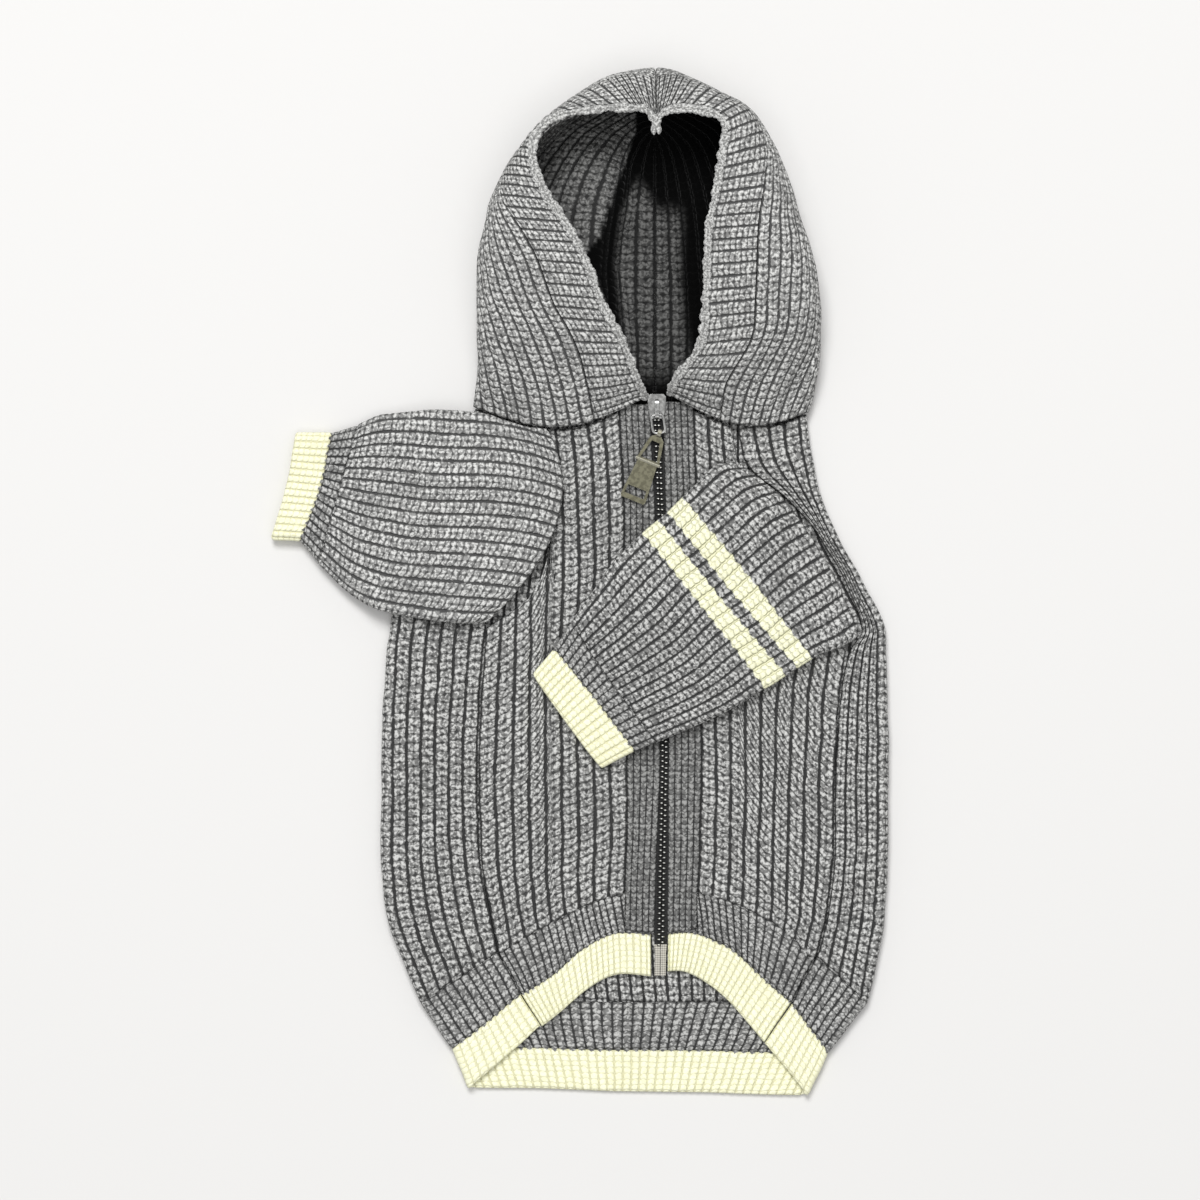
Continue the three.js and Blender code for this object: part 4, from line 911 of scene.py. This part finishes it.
class StageSettings(bpy.types.PropertyGroup):
    """Light, table and camera."""

    key: FloatProperty(name="Main light", description="Power of the main light", subtype="POWER",
                       unit="POWER", default=84.0)
    fill: FloatProperty(name="Fill light", description="Power of the overhead light", subtype="POWER",
                        unit="POWER", default=42.0)
    sky: FloatProperty(name="Surround", description="Brightness all round", default=0.4)
    camera_height: FloatProperty(name="Camera height", description="Height of the camera over the table",
                                 subtype="DISTANCE", unit="LENGTH", default=1.7)


def yarn_finish(kind):
    """The knit finish of a kind of cloth, made once."""
    existing = bpy.data.materials.get(kind)
    if existing:
        return existing
    yarn = bpy.context.scene.sweater_yarn
    grey = (tuple(yarn.grey_light), tuple(yarn.grey_mid), tuple(yarn.grey_dark))
    cream = (tuple(yarn.cream_light), tuple(yarn.cream_mid), tuple(yarn.cream_dark))
    if kind == "grey_rib":
        return knit_finish(kind, [grey], 1.0, [1.0], [0.95], slant=0.12)
    if kind == "grey_soft":
        # Painted light: the hood, its brim and the right sleeve use a lighter copy of the grey yarn. Its
        # painted shade between the stitches is lifted most, and its grooves are weaker.
        pale = tuple(tuple(min(1, c * k) for c in shade) for shade, k in zip(grey, (1.12, 1.35, 1.6)))
        return knit_finish(kind, [pale], 0.9, [1.0], [0.4], slant=0.15)
    if kind == "grey_fine":
        return knit_finish(kind, [grey], 0.6, [0.8], [0.5], leg=0.0, slant=0.3)
    if kind == "grey_plain":
        shaded = tuple(tuple(c * 0.68 for c in shade) for shade in grey)
        return knit_finish(kind, [shaded], 0.4, [0.7], [0.12], leg=0.0, slant=0.4)
    if kind == "striped_rib":
        # The cream of the stripes gets less painted shade between its stitches.
        soft = (cream[0], cream[1], tuple(lerp(a, b, 0.6) for a, b in zip(cream[2], cream[1])))
        return knit_finish(kind, [grey, soft], 0.8, [1.0, 0.6], [0.6, 0.25], slant=0.12, mask=stripe_mask)
    return knit_finish(kind, [grey, cream], 0.3, [0.8, 0.6], [0.8, 0.0], leg=0.0, slant=0.2, mask=edge_mask)


def finish_piece(obj, node, slot, kinds):
    """Gives a knitted piece its materials and its place in the frame."""
    for kind in kinds:
        obj.data.materials.append(yarn_finish(kind))
    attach(obj, "garment")
    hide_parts(node)
    width, length, area = obj["cut"]
    del obj["cut"]
    min(area, width * length)
    return obj


class SWEATER_OT_back(bpy.types.Operator):
    """Knits the back, its waistband and its light hem edge"""

    bl_idname = "sweater.back"
    bl_label = "Back"

    def execute(self, context):
        yarn = context.scene.sweater_yarn
        rise, fine = yarn.rib_rise, yarn.fine_rise
        panel_spans = [(0, 1, 6, rise, 0), (1, 2, 2, rise * 0.6, 0), (2, 3, 36, 0, 0.8),
                       (3, 4, 2, rise * 0.6, 0), (4, 5, 4, rise, 0)]
        band_spans = [(0, 1, 9, fine, 0), (1, 2, 2, fine * 0.5, 0), (2, 3, 40, 0, 0.6),
                      (3, 4, 2, fine * 0.5, 0), (4, 5, 7, fine, 0)]
        edge_spans = [(low, high, count, a * 0.6, b) for low, high, count, a, b in band_spans]
        pieces = (
            ("back_panel", BACK_ROWS, panel_spans, (0, 10.998), 84, "yarn", "grey_rib",
             yarn.course, SEAM_RIM),
            ("back_waistband", BACK_BAND_ROWS, band_spans, (0.002, 0.998), 10, "fine_yarn", "grey_fine",
             yarn.fine_course, SEAM_RIM),
            ("back_hem_edge", BACK_EDGE_ROWS, edge_spans, (0.002, 1), 10, "light_yarn", "cream_fine",
             yarn.fine_course, FREE_RIM),
        )
        for name, table, spans, reach, rows, slot, kind, course, end_rim in pieces:
            shell = knit_shell(
                f"knit_{name}", lambda us, v: np.array([back_point(table, u, v) for u in us]),
                spans, reach, rows, course, folds=BODY_FOLDS, rims=(SEAM_RIM, end_rim),
            )
            finish_piece(shell, name, slot, [kind])
        return {"FINISHED"}


class SWEATER_OT_fronts(bpy.types.Operator):
    """Knits the two fronts with their waistbands and light hem edges"""

    bl_idname = "sweater.fronts"
    bl_label = "Fronts"

    def execute(self, context):
        yarn = context.scene.sweater_yarn
        for name, side in SIDES.items():
            turned = side["hand"] > 0
            panel = knit_shell(
                f"knit_{name}_front", lambda us, v: np.array([front_point(side, u, v) for u in us]),
                [(0, 1, 9, yarn.rib_rise, 0)], (-0.003, 1), 84, yarn.course, turned=turned,
                folds=BODY_FOLDS, rims=(SEAM_RIM, FREE_RIM),
            )
            finish_piece(panel, f"{name}_front", "yarn", ["grey_rib"])
            parts = (("waistband", (0.0, 0.999), SEAM_RIM, "fine_yarn", "grey_fine", 1.0),
                     ("hem_edge", (1.001, 2), FREE_RIM, "light_yarn", "cream_fine", 0.6))
            for part, reach, end_rim, slot, kind, share in parts:
                band = knit_shell(
                    f"knit_{name}_front_{part}", lambda us, v: np.array([hem_point(side, u, v) for u in us]),
                    [(0.004, 1, 22, yarn.fine_rise * share, 0)], reach, 10, yarn.fine_course,
                    turned=not turned, rims=(SEAM_RIM, end_rim),
                )
                finish_piece(band, f"{name}_front_{part}", slot, [kind])
        return {"FINISHED"}


class SWEATER_OT_plackets(bpy.types.Operator):
    """Knits the fine band along each side of the zip"""

    bl_idname = "sweater.plackets"
    bl_label = "Plackets"

    def execute(self, context):
        yarn = context.scene.sweater_yarn
        far = ZIP_HALF + PLACKET + 1.5 * SEAM
        for name, side in SIDES.items():
            hand = side["hand"]
            head = neck_y(zip_x(SHOULDER_LEVEL) + hand * (ZIP_HALF + far) / 2) - SEAM

            def row_at(us, v):
                y = lerp(PLACKET_FOOT, head, v)
                return np.array([(zip_x(y) + hand * lerp(zip_gap(y), far, u), y, LAYER_TOP) for u in us])

            band = knit_shell(
                f"knit_{name}_placket", row_at, [(0, 1, 5, yarn.fine_rise * 0.35, 0)], (0, 1), 90,
                yarn.fine_course, turned=hand < 0, rims=(SEAM_RIM, 0.5),
            )
            finish_piece(band, f"{name}_placket", "fine_yarn", ["grey_plain"])
        return {"FINISHED"}


class SWEATER_OT_sleeves(bpy.types.Operator):
    """Knits both sleeves with their cuffs and light cuff edges"""

    bl_idname = "sweater.sleeves"
    bl_label = "Sleeves"

    def execute(self, context):
        yarn = context.scene.sweater_yarn
        tubes = (
            ("right_sleeve", RIGHT_SLEEVE_ROWS, (0, 5.995), 60, "grey_soft", RIGHT_SLEEVE_FOLDS),
            ("right_cuff", RIGHT_CUFF_ROWS, (0.005, 0.995), 8, "grey_fine", ()),
            ("right_cuff_edge", RIGHT_CUFF_EDGE_ROWS, (0.005, 1), 10, "cream_fine", ()),
            ("left_sleeve", LEFT_SLEEVE_ROWS, (0, 5.995), 70, "striped_rib", LEFT_SLEEVE_FOLDS),
            ("left_cuff", LEFT_CUFF_ROWS, (0.005, 0.995), 8, "grey_fine", ()),
            ("left_cuff_edge", LEFT_CUFF_EDGE_ROWS, (0.005, 1), 10, "cream_fine", ()),
        )
        slots = {"grey_soft": "yarn", "striped_rib": "yarn", "grey_fine": "fine_yarn",
                 "cream_fine": "light_yarn"}
        for name, table, reach, rows, kind, folds in tubes:
            broad = kind in ("grey_soft", "striped_rib")
            rise = yarn.rib_rise if broad else yarn.fine_rise
            count = 16 if broad else 17
            shell = knit_shell(
                f"knit_{name}", lambda us, v: np.array([tube_point(table, u, v) for u in us]),
                [(0, 0.5, count, rise, 0), (0.5, 1, count, 0.15, 0)], reach, rows,
                yarn.course * 0.8 if broad else yarn.fine_course, closed=True, turned=True, folds=folds,
                root=1.2 if broad else None, rims=(SEAM_RIM, FREE_RIM if kind == "cream_fine" else SEAM_RIM),
            )
            finish_piece(shell, name, slots[kind], [kind])
        return {"FINISHED"}


def inner_shade(points):
    """Painted shadow on the inside of the hood: how deep in shadow it lies, from 0 in the open to 1."""
    x, y = points[:, 0], points[:, 1]

    def soft(value, low, high):
        t = np.clip((value - low) / (high - low), 0, 1)
        return t * t * (3 - 2 * t)

    fold = np.interp(y, [99.4, 131.8, 140.2, 182.2], [17.2, 3.6, 9.2, 23.6])
    hollow = np.interp(y, [99.4, 129.4, 148.2, 163], [17.6, 14.4, 16.5, 22.5])
    strip = np.interp(y, [92, 122, 152], [45.2, 41.6, 42.8])
    left = 0.35 * (1 - soft(x - fold, -0.6, 0.4))
    back = 0.22 * soft(x - hollow, -0.6, 2.4) * (1 - soft(x - strip, -4.0, 2.5))
    back = back * (1 - soft(y + 11 * soft(x, 25, 34), 154, 166)) * soft(y, 78, 92)
    return 1 - np.maximum(left, back)


class SWEATER_OT_hood(bpy.types.Operator):
    """Knits the two halves of the hood and the band round its face opening"""

    bl_idname = "sweater.hood"
    bl_label = "Hood"

    def execute(self, context):
        yarn = context.scene.sweater_yarn
        halves = (("right", RIGHT_HOOD_ROWS, -1, 42), ("left", LEFT_HOOD_ROWS, 1, 36))
        for name, table, hand, brim_ribs in halves:
            last = len(table) - 1
            centre = HOOD_SPINE + hand * 0.005

            def trim(points):
                nearer = np.minimum if hand < 0 else np.maximum
                points[..., 0] = nearer(points[..., 0], centre)
                return points

            panel = knit_shell(
                f"knit_{name}_hood", lambda us, v: hood_row(table, us, v),
                [(1.01, 2, 12, yarn.rib_rise * 0.7, 0.7), (2, 3, 9, 0, 0.9)], (0, last), 90, yarn.course,
                turned=hand < 0, folds=HOOD_FOLDS, trim=trim, side_rim=HOOD_RIM, shade=inner_shade,
            )
            finish_piece(panel, f"{name}_hood", "yarn", ["grey_soft"])

            def brim_row(us, v):
                return np.array([hood_row(table, np.array([v]), u)[0] for u in us])

            brim = knit_shell(
                f"knit_{name}_brim", brim_row, [(0, last, brim_ribs, yarn.fine_rise, 0.3)],
                (0.02, 1.005), 12, yarn.fine_course, wall=BRIM_THICK, turned=hand > 0, trim=trim,
                rims=(1.6, HOOD_RIM), folds=HOOD_FOLDS,
            )
            finish_piece(brim, f"{name}_brim", "fine_yarn", ["grey_soft"])
            self.chain_edge(name, table, hand)
        return {"FINISHED"}

    def chain_edge(self, name, table, hand):
        """The light chain of stitches along the edge of the face opening."""
        settings = bpy.context.scene.sweater_yarn
        loop = chain_loop(f"{name}_loop")
        line = []
        for v in np.linspace(0.05, len(table) - 1, 80):
            lip, inner = hood_row(table, np.array([0.045, 0.2]), v)
            away = (lip - inner) / np.linalg.norm(lip - inner)
            sway = 0.9 * noise.noise(Vector((v * 5.3, hand, 5.0)))
            line.append(lip + away * (0.4 + sway) + np.array([0, 0, 0.45]))
        yarn = tuple(settings.grey_light)
        thread = yarn_thread("edge_yarn", yarn)
        stitches = repeat_along(f"{name}_edge_chain", line, loop, thread, 2.5, 0.3, seed=settings.seed + hand)
        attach(stitches, "garment")


class SWEATER_OT_zip(bpy.types.Operator):
    """Sets the teeth along both edges of the zip, on their tapes"""

    bl_idname = "sweater.zip"
    bl_label = "Zip"

    def execute(self, context):
        settings = context.scene.sweater_zip
        colour = tuple(settings.tooth_colour)
        metal = tooth_finish("tooth_metal", colour)
        tape = tape_finish("zip_tape", (0.012, 0.012, 0.012), (0.004, 0.004, 0.004))
        tape_end = tape_finish("zip_tape_end", (0.52, 0.50, 0.44), (0.2, 0.19, 0.17))
        for name, side in SIDES.items():
            hand = side["hand"]
            strip = self.tape_mesh(f"{name}_tape", hand, (tape, tape_end))
            half = settings.tooth_pitch / 2 if hand > 0 else 0
            ys = np.linspace(TEETH_FOOT + half, TEETH_HEAD, 60)
            line = [(zip_x(y) + hand * 0.8, y, TAPE_TOP) for y in ys]
            teeth = repeat_along(f"{name}_teeth", line, tooth_shape(name, hand), metal, settings.tooth_pitch)
            for obj in (strip, teeth):
                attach(obj, "garment")
            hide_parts(f"{name}_zip_row")
        return {"FINISHED"}

    def tape_mesh(self, name, hand, tapes):
        """The tape's edge under the teeth, closed all round, bare and pale below the last tooth."""
        points, faces = [], []
        ys = np.linspace(TAPE_FOOT, TAPE_HEAD, 75)
        for y in ys:
            pale = y < TAPE_BARE
            near = zip_x(y) + hand * 0.12
            far = zip_x(y) + hand * (2.2 if pale else zip_gap(y) - 0.05)
            top = 5.3 if pale else TAPE_TOP
            for px, pz in ((near, TAPE_BOTTOM), (far, TAPE_BOTTOM), (far, top), (near, top)):
                points.append((px * MM, y * MM, pz * MM))
        for k in range(len(ys) - 1):
            for c in range(4):
                a, b = 4 * k + c, 4 * k + (c + 1) % 4
                faces.append((a, b, b + 4, a + 4))
        end = 4 * (len(ys) - 1)
        faces += [(3, 2, 1, 0), (end, end + 1, end + 2, end + 3)]
        mesh = bpy.data.meshes.new(name)
        mesh.from_pydata(points, [], faces)
        for material in tapes:
            mesh.materials.append(material)
        for face in mesh.polygons:
            face.material_index = int(face.center.y < TAPE_BARE * MM)
        mesh.update()
        if mesh_volume(mesh) < 0:
            mesh.flip_normals()
        obj = add_object(name, mesh)
        return obj


def tooth_shape(name, hand):
    """One tooth across the line: a leg on the tape and a domed head. Its up is -Y, its length along X."""
    outline = [(-0.8, -0.32), (-0.3, -0.36), (0.2, -0.52), (0.7, -0.44), (0.9, 0.0),
               (0.7, 0.44), (0.2, 0.52), (-0.3, 0.36), (-0.8, 0.32)]
    levels = ((0.0, 1.0, 0.0), (0.9, 1.0, 0.0), (1.3, 0.72, 0.12), (1.55, 0.36, 0.22))
    points = [(-hand * lerp(x * k, 0.3, shift) * MM, -z * MM, y * k * MM)
              for z, k, shift in levels for x, y in outline]
    count = len(outline)
    faces = [tuple(range(count)), tuple(range(3 * count, 4 * count))[::-1]]
    for level in range(3):
        for k in range(count):
            a, b = level * count + k, level * count + (k + 1) % count
            faces.append((b, a, a + count, b + count))
    return pattern_object(f"{name}_tooth", points, faces)


def chain_loop(name):
    """One chain stitch: two plump legs that meet, up being -Y and the chain running along Z."""
    rings = ((-1.8, 0.3), (-1.0, 0.75), (0.2, 0.9), (1.2, 0.65), (1.8, 0.25))
    points, faces = [], []
    for side in (-1, 1):
        start = len(points)
        for k, (along, radius) in enumerate(rings):
            middle = side * (0.3 + 0.5 * (k / 2.0 if k < 3 else 1.0))
            for turn in range(6):
                angle = math.tau * turn / 6
                points.append(((middle + radius * math.cos(angle)) * MM, radius * 0.8 * math.sin(angle) * MM,
                               along * MM))
        for ring in range(4):
            for turn in range(6):
                a, b = start + 6 * ring + turn, start + 6 * ring + (turn + 1) % 6
                faces.append((a, b, b + 6, a + 6))
        faces.append(tuple(range(start, start + 6))[::-1])
        faces.append(tuple(range(start + 24, start + 30)))
    return pattern_object(name, points, faces)


def pattern_object(name, points, faces):
    """A small shape kept out of the scene, for repeating."""
    mesh = bpy.data.meshes.new(name)
    mesh.from_pydata(points, [], faces)
    mesh.update()
    if mesh_volume(mesh) < 0:
        mesh.flip_normals()
    return bpy.data.objects.new(name, mesh)


def repeat_along(name, line, pattern, material, pitch, vary=0.0, seed=0):
    """Repeats a small shape along a line, evenly by length, with Geometry Nodes."""
    curve = bpy.data.curves.new(name, "CURVE")
    curve.dimensions = "3D"
    curve.twist_mode = "Z_UP"
    spline = curve.splines.new("POLY")
    spline.points.add(len(line) - 1)
    for point, place in zip(spline.points, line):
        point.co = (*(float(c) * MM for c in place), 1)
    path = add_object(f"{name}_path", curve)
    tree = bpy.data.node_groups.new(name, "GeometryNodeTree")
    tree.interface.new_socket("Geometry", in_out="INPUT", socket_type="NodeSocketGeometry")
    kinds = {"Pitch": "Float", "Shape": "Object", "Smallest": "Float", "Largest": "Float", "Seed": "Int"}
    sockets = {key: tree.interface.new_socket(key, in_out="INPUT", socket_type=f"NodeSocket{kind}")
               for key, kind in kinds.items()}
    tree.interface.new_socket("Geometry", in_out="OUTPUT", socket_type="NodeSocketGeometry")
    start, points, shape, size, place, whole, paint, end = (
        tree.nodes.new(kind) for kind in (
            "NodeGroupInput", "GeometryNodeCurveToPoints", "GeometryNodeObjectInfo",
            "FunctionNodeRandomValue", "GeometryNodeInstanceOnPoints", "GeometryNodeRealizeInstances",
            "GeometryNodeSetMaterial", "NodeGroupOutput"))
    points.mode = "LENGTH"
    paint.inputs["Material"].default_value = material
    for out, socket in (
        (start.outputs["Geometry"], points.inputs["Curve"]),
        (start.outputs["Pitch"], points.inputs["Length"]),
        (start.outputs["Shape"], shape.inputs["Object"]),
        (start.outputs["Smallest"], size.inputs[2]),
        (start.outputs["Largest"], size.inputs[3]),
        (start.outputs["Seed"], size.inputs["Seed"]),
        (points.outputs["Points"], place.inputs["Points"]),
        (points.outputs["Rotation"], place.inputs["Rotation"]),
        (shape.outputs["Geometry"], place.inputs["Instance"]),
        (size.outputs[1], place.inputs["Scale"]),
        (place.outputs[0], whole.inputs[0]),
        (whole.outputs[0], paint.inputs["Geometry"]),
        (paint.outputs[0], end.inputs[0]),
    ):
        tree.links.new(out, socket)
    modifier = path.modifiers.new(name, "NODES")
    modifier.node_group = tree
    values = {"Pitch": pitch * MM, "Shape": pattern, "Smallest": 1 - vary, "Largest": 1 + vary, "Seed": seed}
    for key, value in values.items():
        modifier[sockets[key].identifier] = value
    return settle_mesh(path, name)


def settle_mesh(source, name):
    """Turns an evaluated object into a plain mesh object and removes the source."""
    graph = bpy.context.evaluated_depsgraph_get()
    mesh = bpy.data.meshes.new_from_object(source.evaluated_get(graph), depsgraph=graph)
    mesh.name = name
    obj = add_object(name, mesh)
    bpy.data.objects.remove(source)
    return obj


class SWEATER_OT_pull(bpy.types.Operator):
    """Plates the slider, its ring and its pull tab"""

    bl_idname = "sweater.pull"
    bl_label = "Slider and pull"

    def execute(self, context):
        settings = context.scene.sweater_zip
        slider = tuple(settings.slider_colour)
        tab = tuple(settings.tab_colour)
        # The third value is the colour of the painted highlights on sloped faces.
        bright = metal_finish("slider_metal", slider, (0.9, 0.9, 0.88), 0.16)
        dull = metal_finish("tab_metal", tab, (0.75, 0.73, 0.62), 0.28)
        for node, metal, body in (("zip_slider", bright, "garment"), ("pull_ring", bright, "pull_ring"),
                                  ("pull_tab", dull, "pull_tab")):
            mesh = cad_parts[node].data.copy()
            obj = add_object(f"plated_{node}", mesh)
            mesh.materials.clear()
            mesh.materials.append(metal)
            weld = obj.modifiers.new("weld", "WELD")
            weld.merge_threshold = 1e-6
            bevel = obj.modifiers.new("bevel", "BEVEL")
            bevel.width = 0.3 * MM
            bevel.segments = 2
            bevel.angle_limit = math.radians(40)
            plated = settle_mesh(obj, f"plated_{node}_metal")
            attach(plated, body)
            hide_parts(node)
        return {"FINISHED"}


class SWEATER_OT_stage(bpy.types.Operator):
    """Sets the table, the lights and the camera"""

    bl_idname = "sweater.stage"
    bl_label = "Stage"

    def execute(self, context):
        settings = context.scene.sweater_stage
        scene = context.scene
        mesh = bpy.data.meshes.new("table")
        half = TABLE_HALF
        corners = [(-half, -half, TABLE_LEVEL), (half, -half, TABLE_LEVEL),
                   (half, half, TABLE_LEVEL), (-half, half, TABLE_LEVEL)]
        mesh.from_pydata(corners, [], [(0, 1, 2, 3)])
        table = add_object("floor", mesh)
        paper = Finish("pale_table", Base_Color=(0.66, 0.654, 0.644, 1), Roughness=0.8)
        mesh.materials.append(paper.material)
        self.lamp("main", (-0.3, 1.5, 3.0), 1.1, settings.key)
        self.lamp("overhead", (0.1, -0.2, 3.2), 2.4, settings.fill)
        world = bpy.data.worlds.new("surround")
        world.use_nodes = True
        world.node_tree.nodes["Background"].inputs[0].default_value = (1, 1, 1, 1)
        world.node_tree.nodes["Background"].inputs[1].default_value = settings.sky
        scene.world = world
        camera = bpy.data.cameras.new("camera")
        camera.sensor_fit = "HORIZONTAL"
        height = settings.camera_height
        camera.sensor_width = SENSOR_WIDTH
        camera.lens = SENSOR_WIDTH * (height - VIEW_LEVEL) / VIEW_WIDTH
        holder = add_object("camera", camera)
        holder.location = (*VIEW_CENTRE, height)
        scene.camera = holder
        scene.view_settings.view_transform = "Standard"
        return {"FINISHED"}

    def lamp(self, name, place, size, power):
        light = bpy.data.lights.new(name, "AREA")
        light.size = size
        light.energy = power
        lamp = add_object(name, light)
        lamp.location = place
        lamp.rotation_euler = (Vector((0.02, 0, 0)) - Vector(place)).to_track_quat("-Z", "Y").to_euler()


class SWEATER_PT_pieces(bpy.types.Panel):
    """Lists the pieces of the sweater"""

    bl_label = "Sweater"
    bl_idname = "SWEATER_PT_pieces"
    bl_space_type = "VIEW_3D"
    bl_region_type = "UI"
    bl_category = "Sweater"

    def draw(self, context):
        for operator in OPERATORS:
            self.layout.operator(operator.bl_idname)
        for group in (context.scene.sweater_yarn, context.scene.sweater_zip, context.scene.sweater_stage):
            for name in group.__annotations__:
                self.layout.prop(group, name)


OPERATORS = (
    SWEATER_OT_stage, SWEATER_OT_back, SWEATER_OT_fronts, SWEATER_OT_plackets, SWEATER_OT_sleeves,
    SWEATER_OT_hood, SWEATER_OT_zip, SWEATER_OT_pull,
)
GROUPS = {"sweater_yarn": YarnSettings, "sweater_zip": ZipSettings, "sweater_stage": StageSettings}


def register():
    for group in GROUPS.values():
        bpy.utils.register_class(group)
    for name, group in GROUPS.items():
        setattr(bpy.types.Scene, name, PointerProperty(type=group))
    for operator in OPERATORS:
        bpy.utils.register_class(operator)
    bpy.utils.register_class(SWEATER_PT_pieces)


def unregister():
    bpy.utils.unregister_class(SWEATER_PT_pieces)
    for operator in reversed(OPERATORS):
        bpy.utils.unregister_class(operator)
    for name, group in GROUPS.items():
        delattr(bpy.types.Scene, name)
        bpy.utils.unregister_class(group)


def main():
    register()
    bpy.ops.sweater.stage()
    bpy.ops.sweater.back()
    bpy.ops.sweater.fronts()
    bpy.ops.sweater.plackets()
    bpy.ops.sweater.sleeves()
    bpy.ops.sweater.hood()
    bpy.ops.sweater.zip()
    bpy.ops.sweater.pull()


if __name__ == "__main__":
    main()
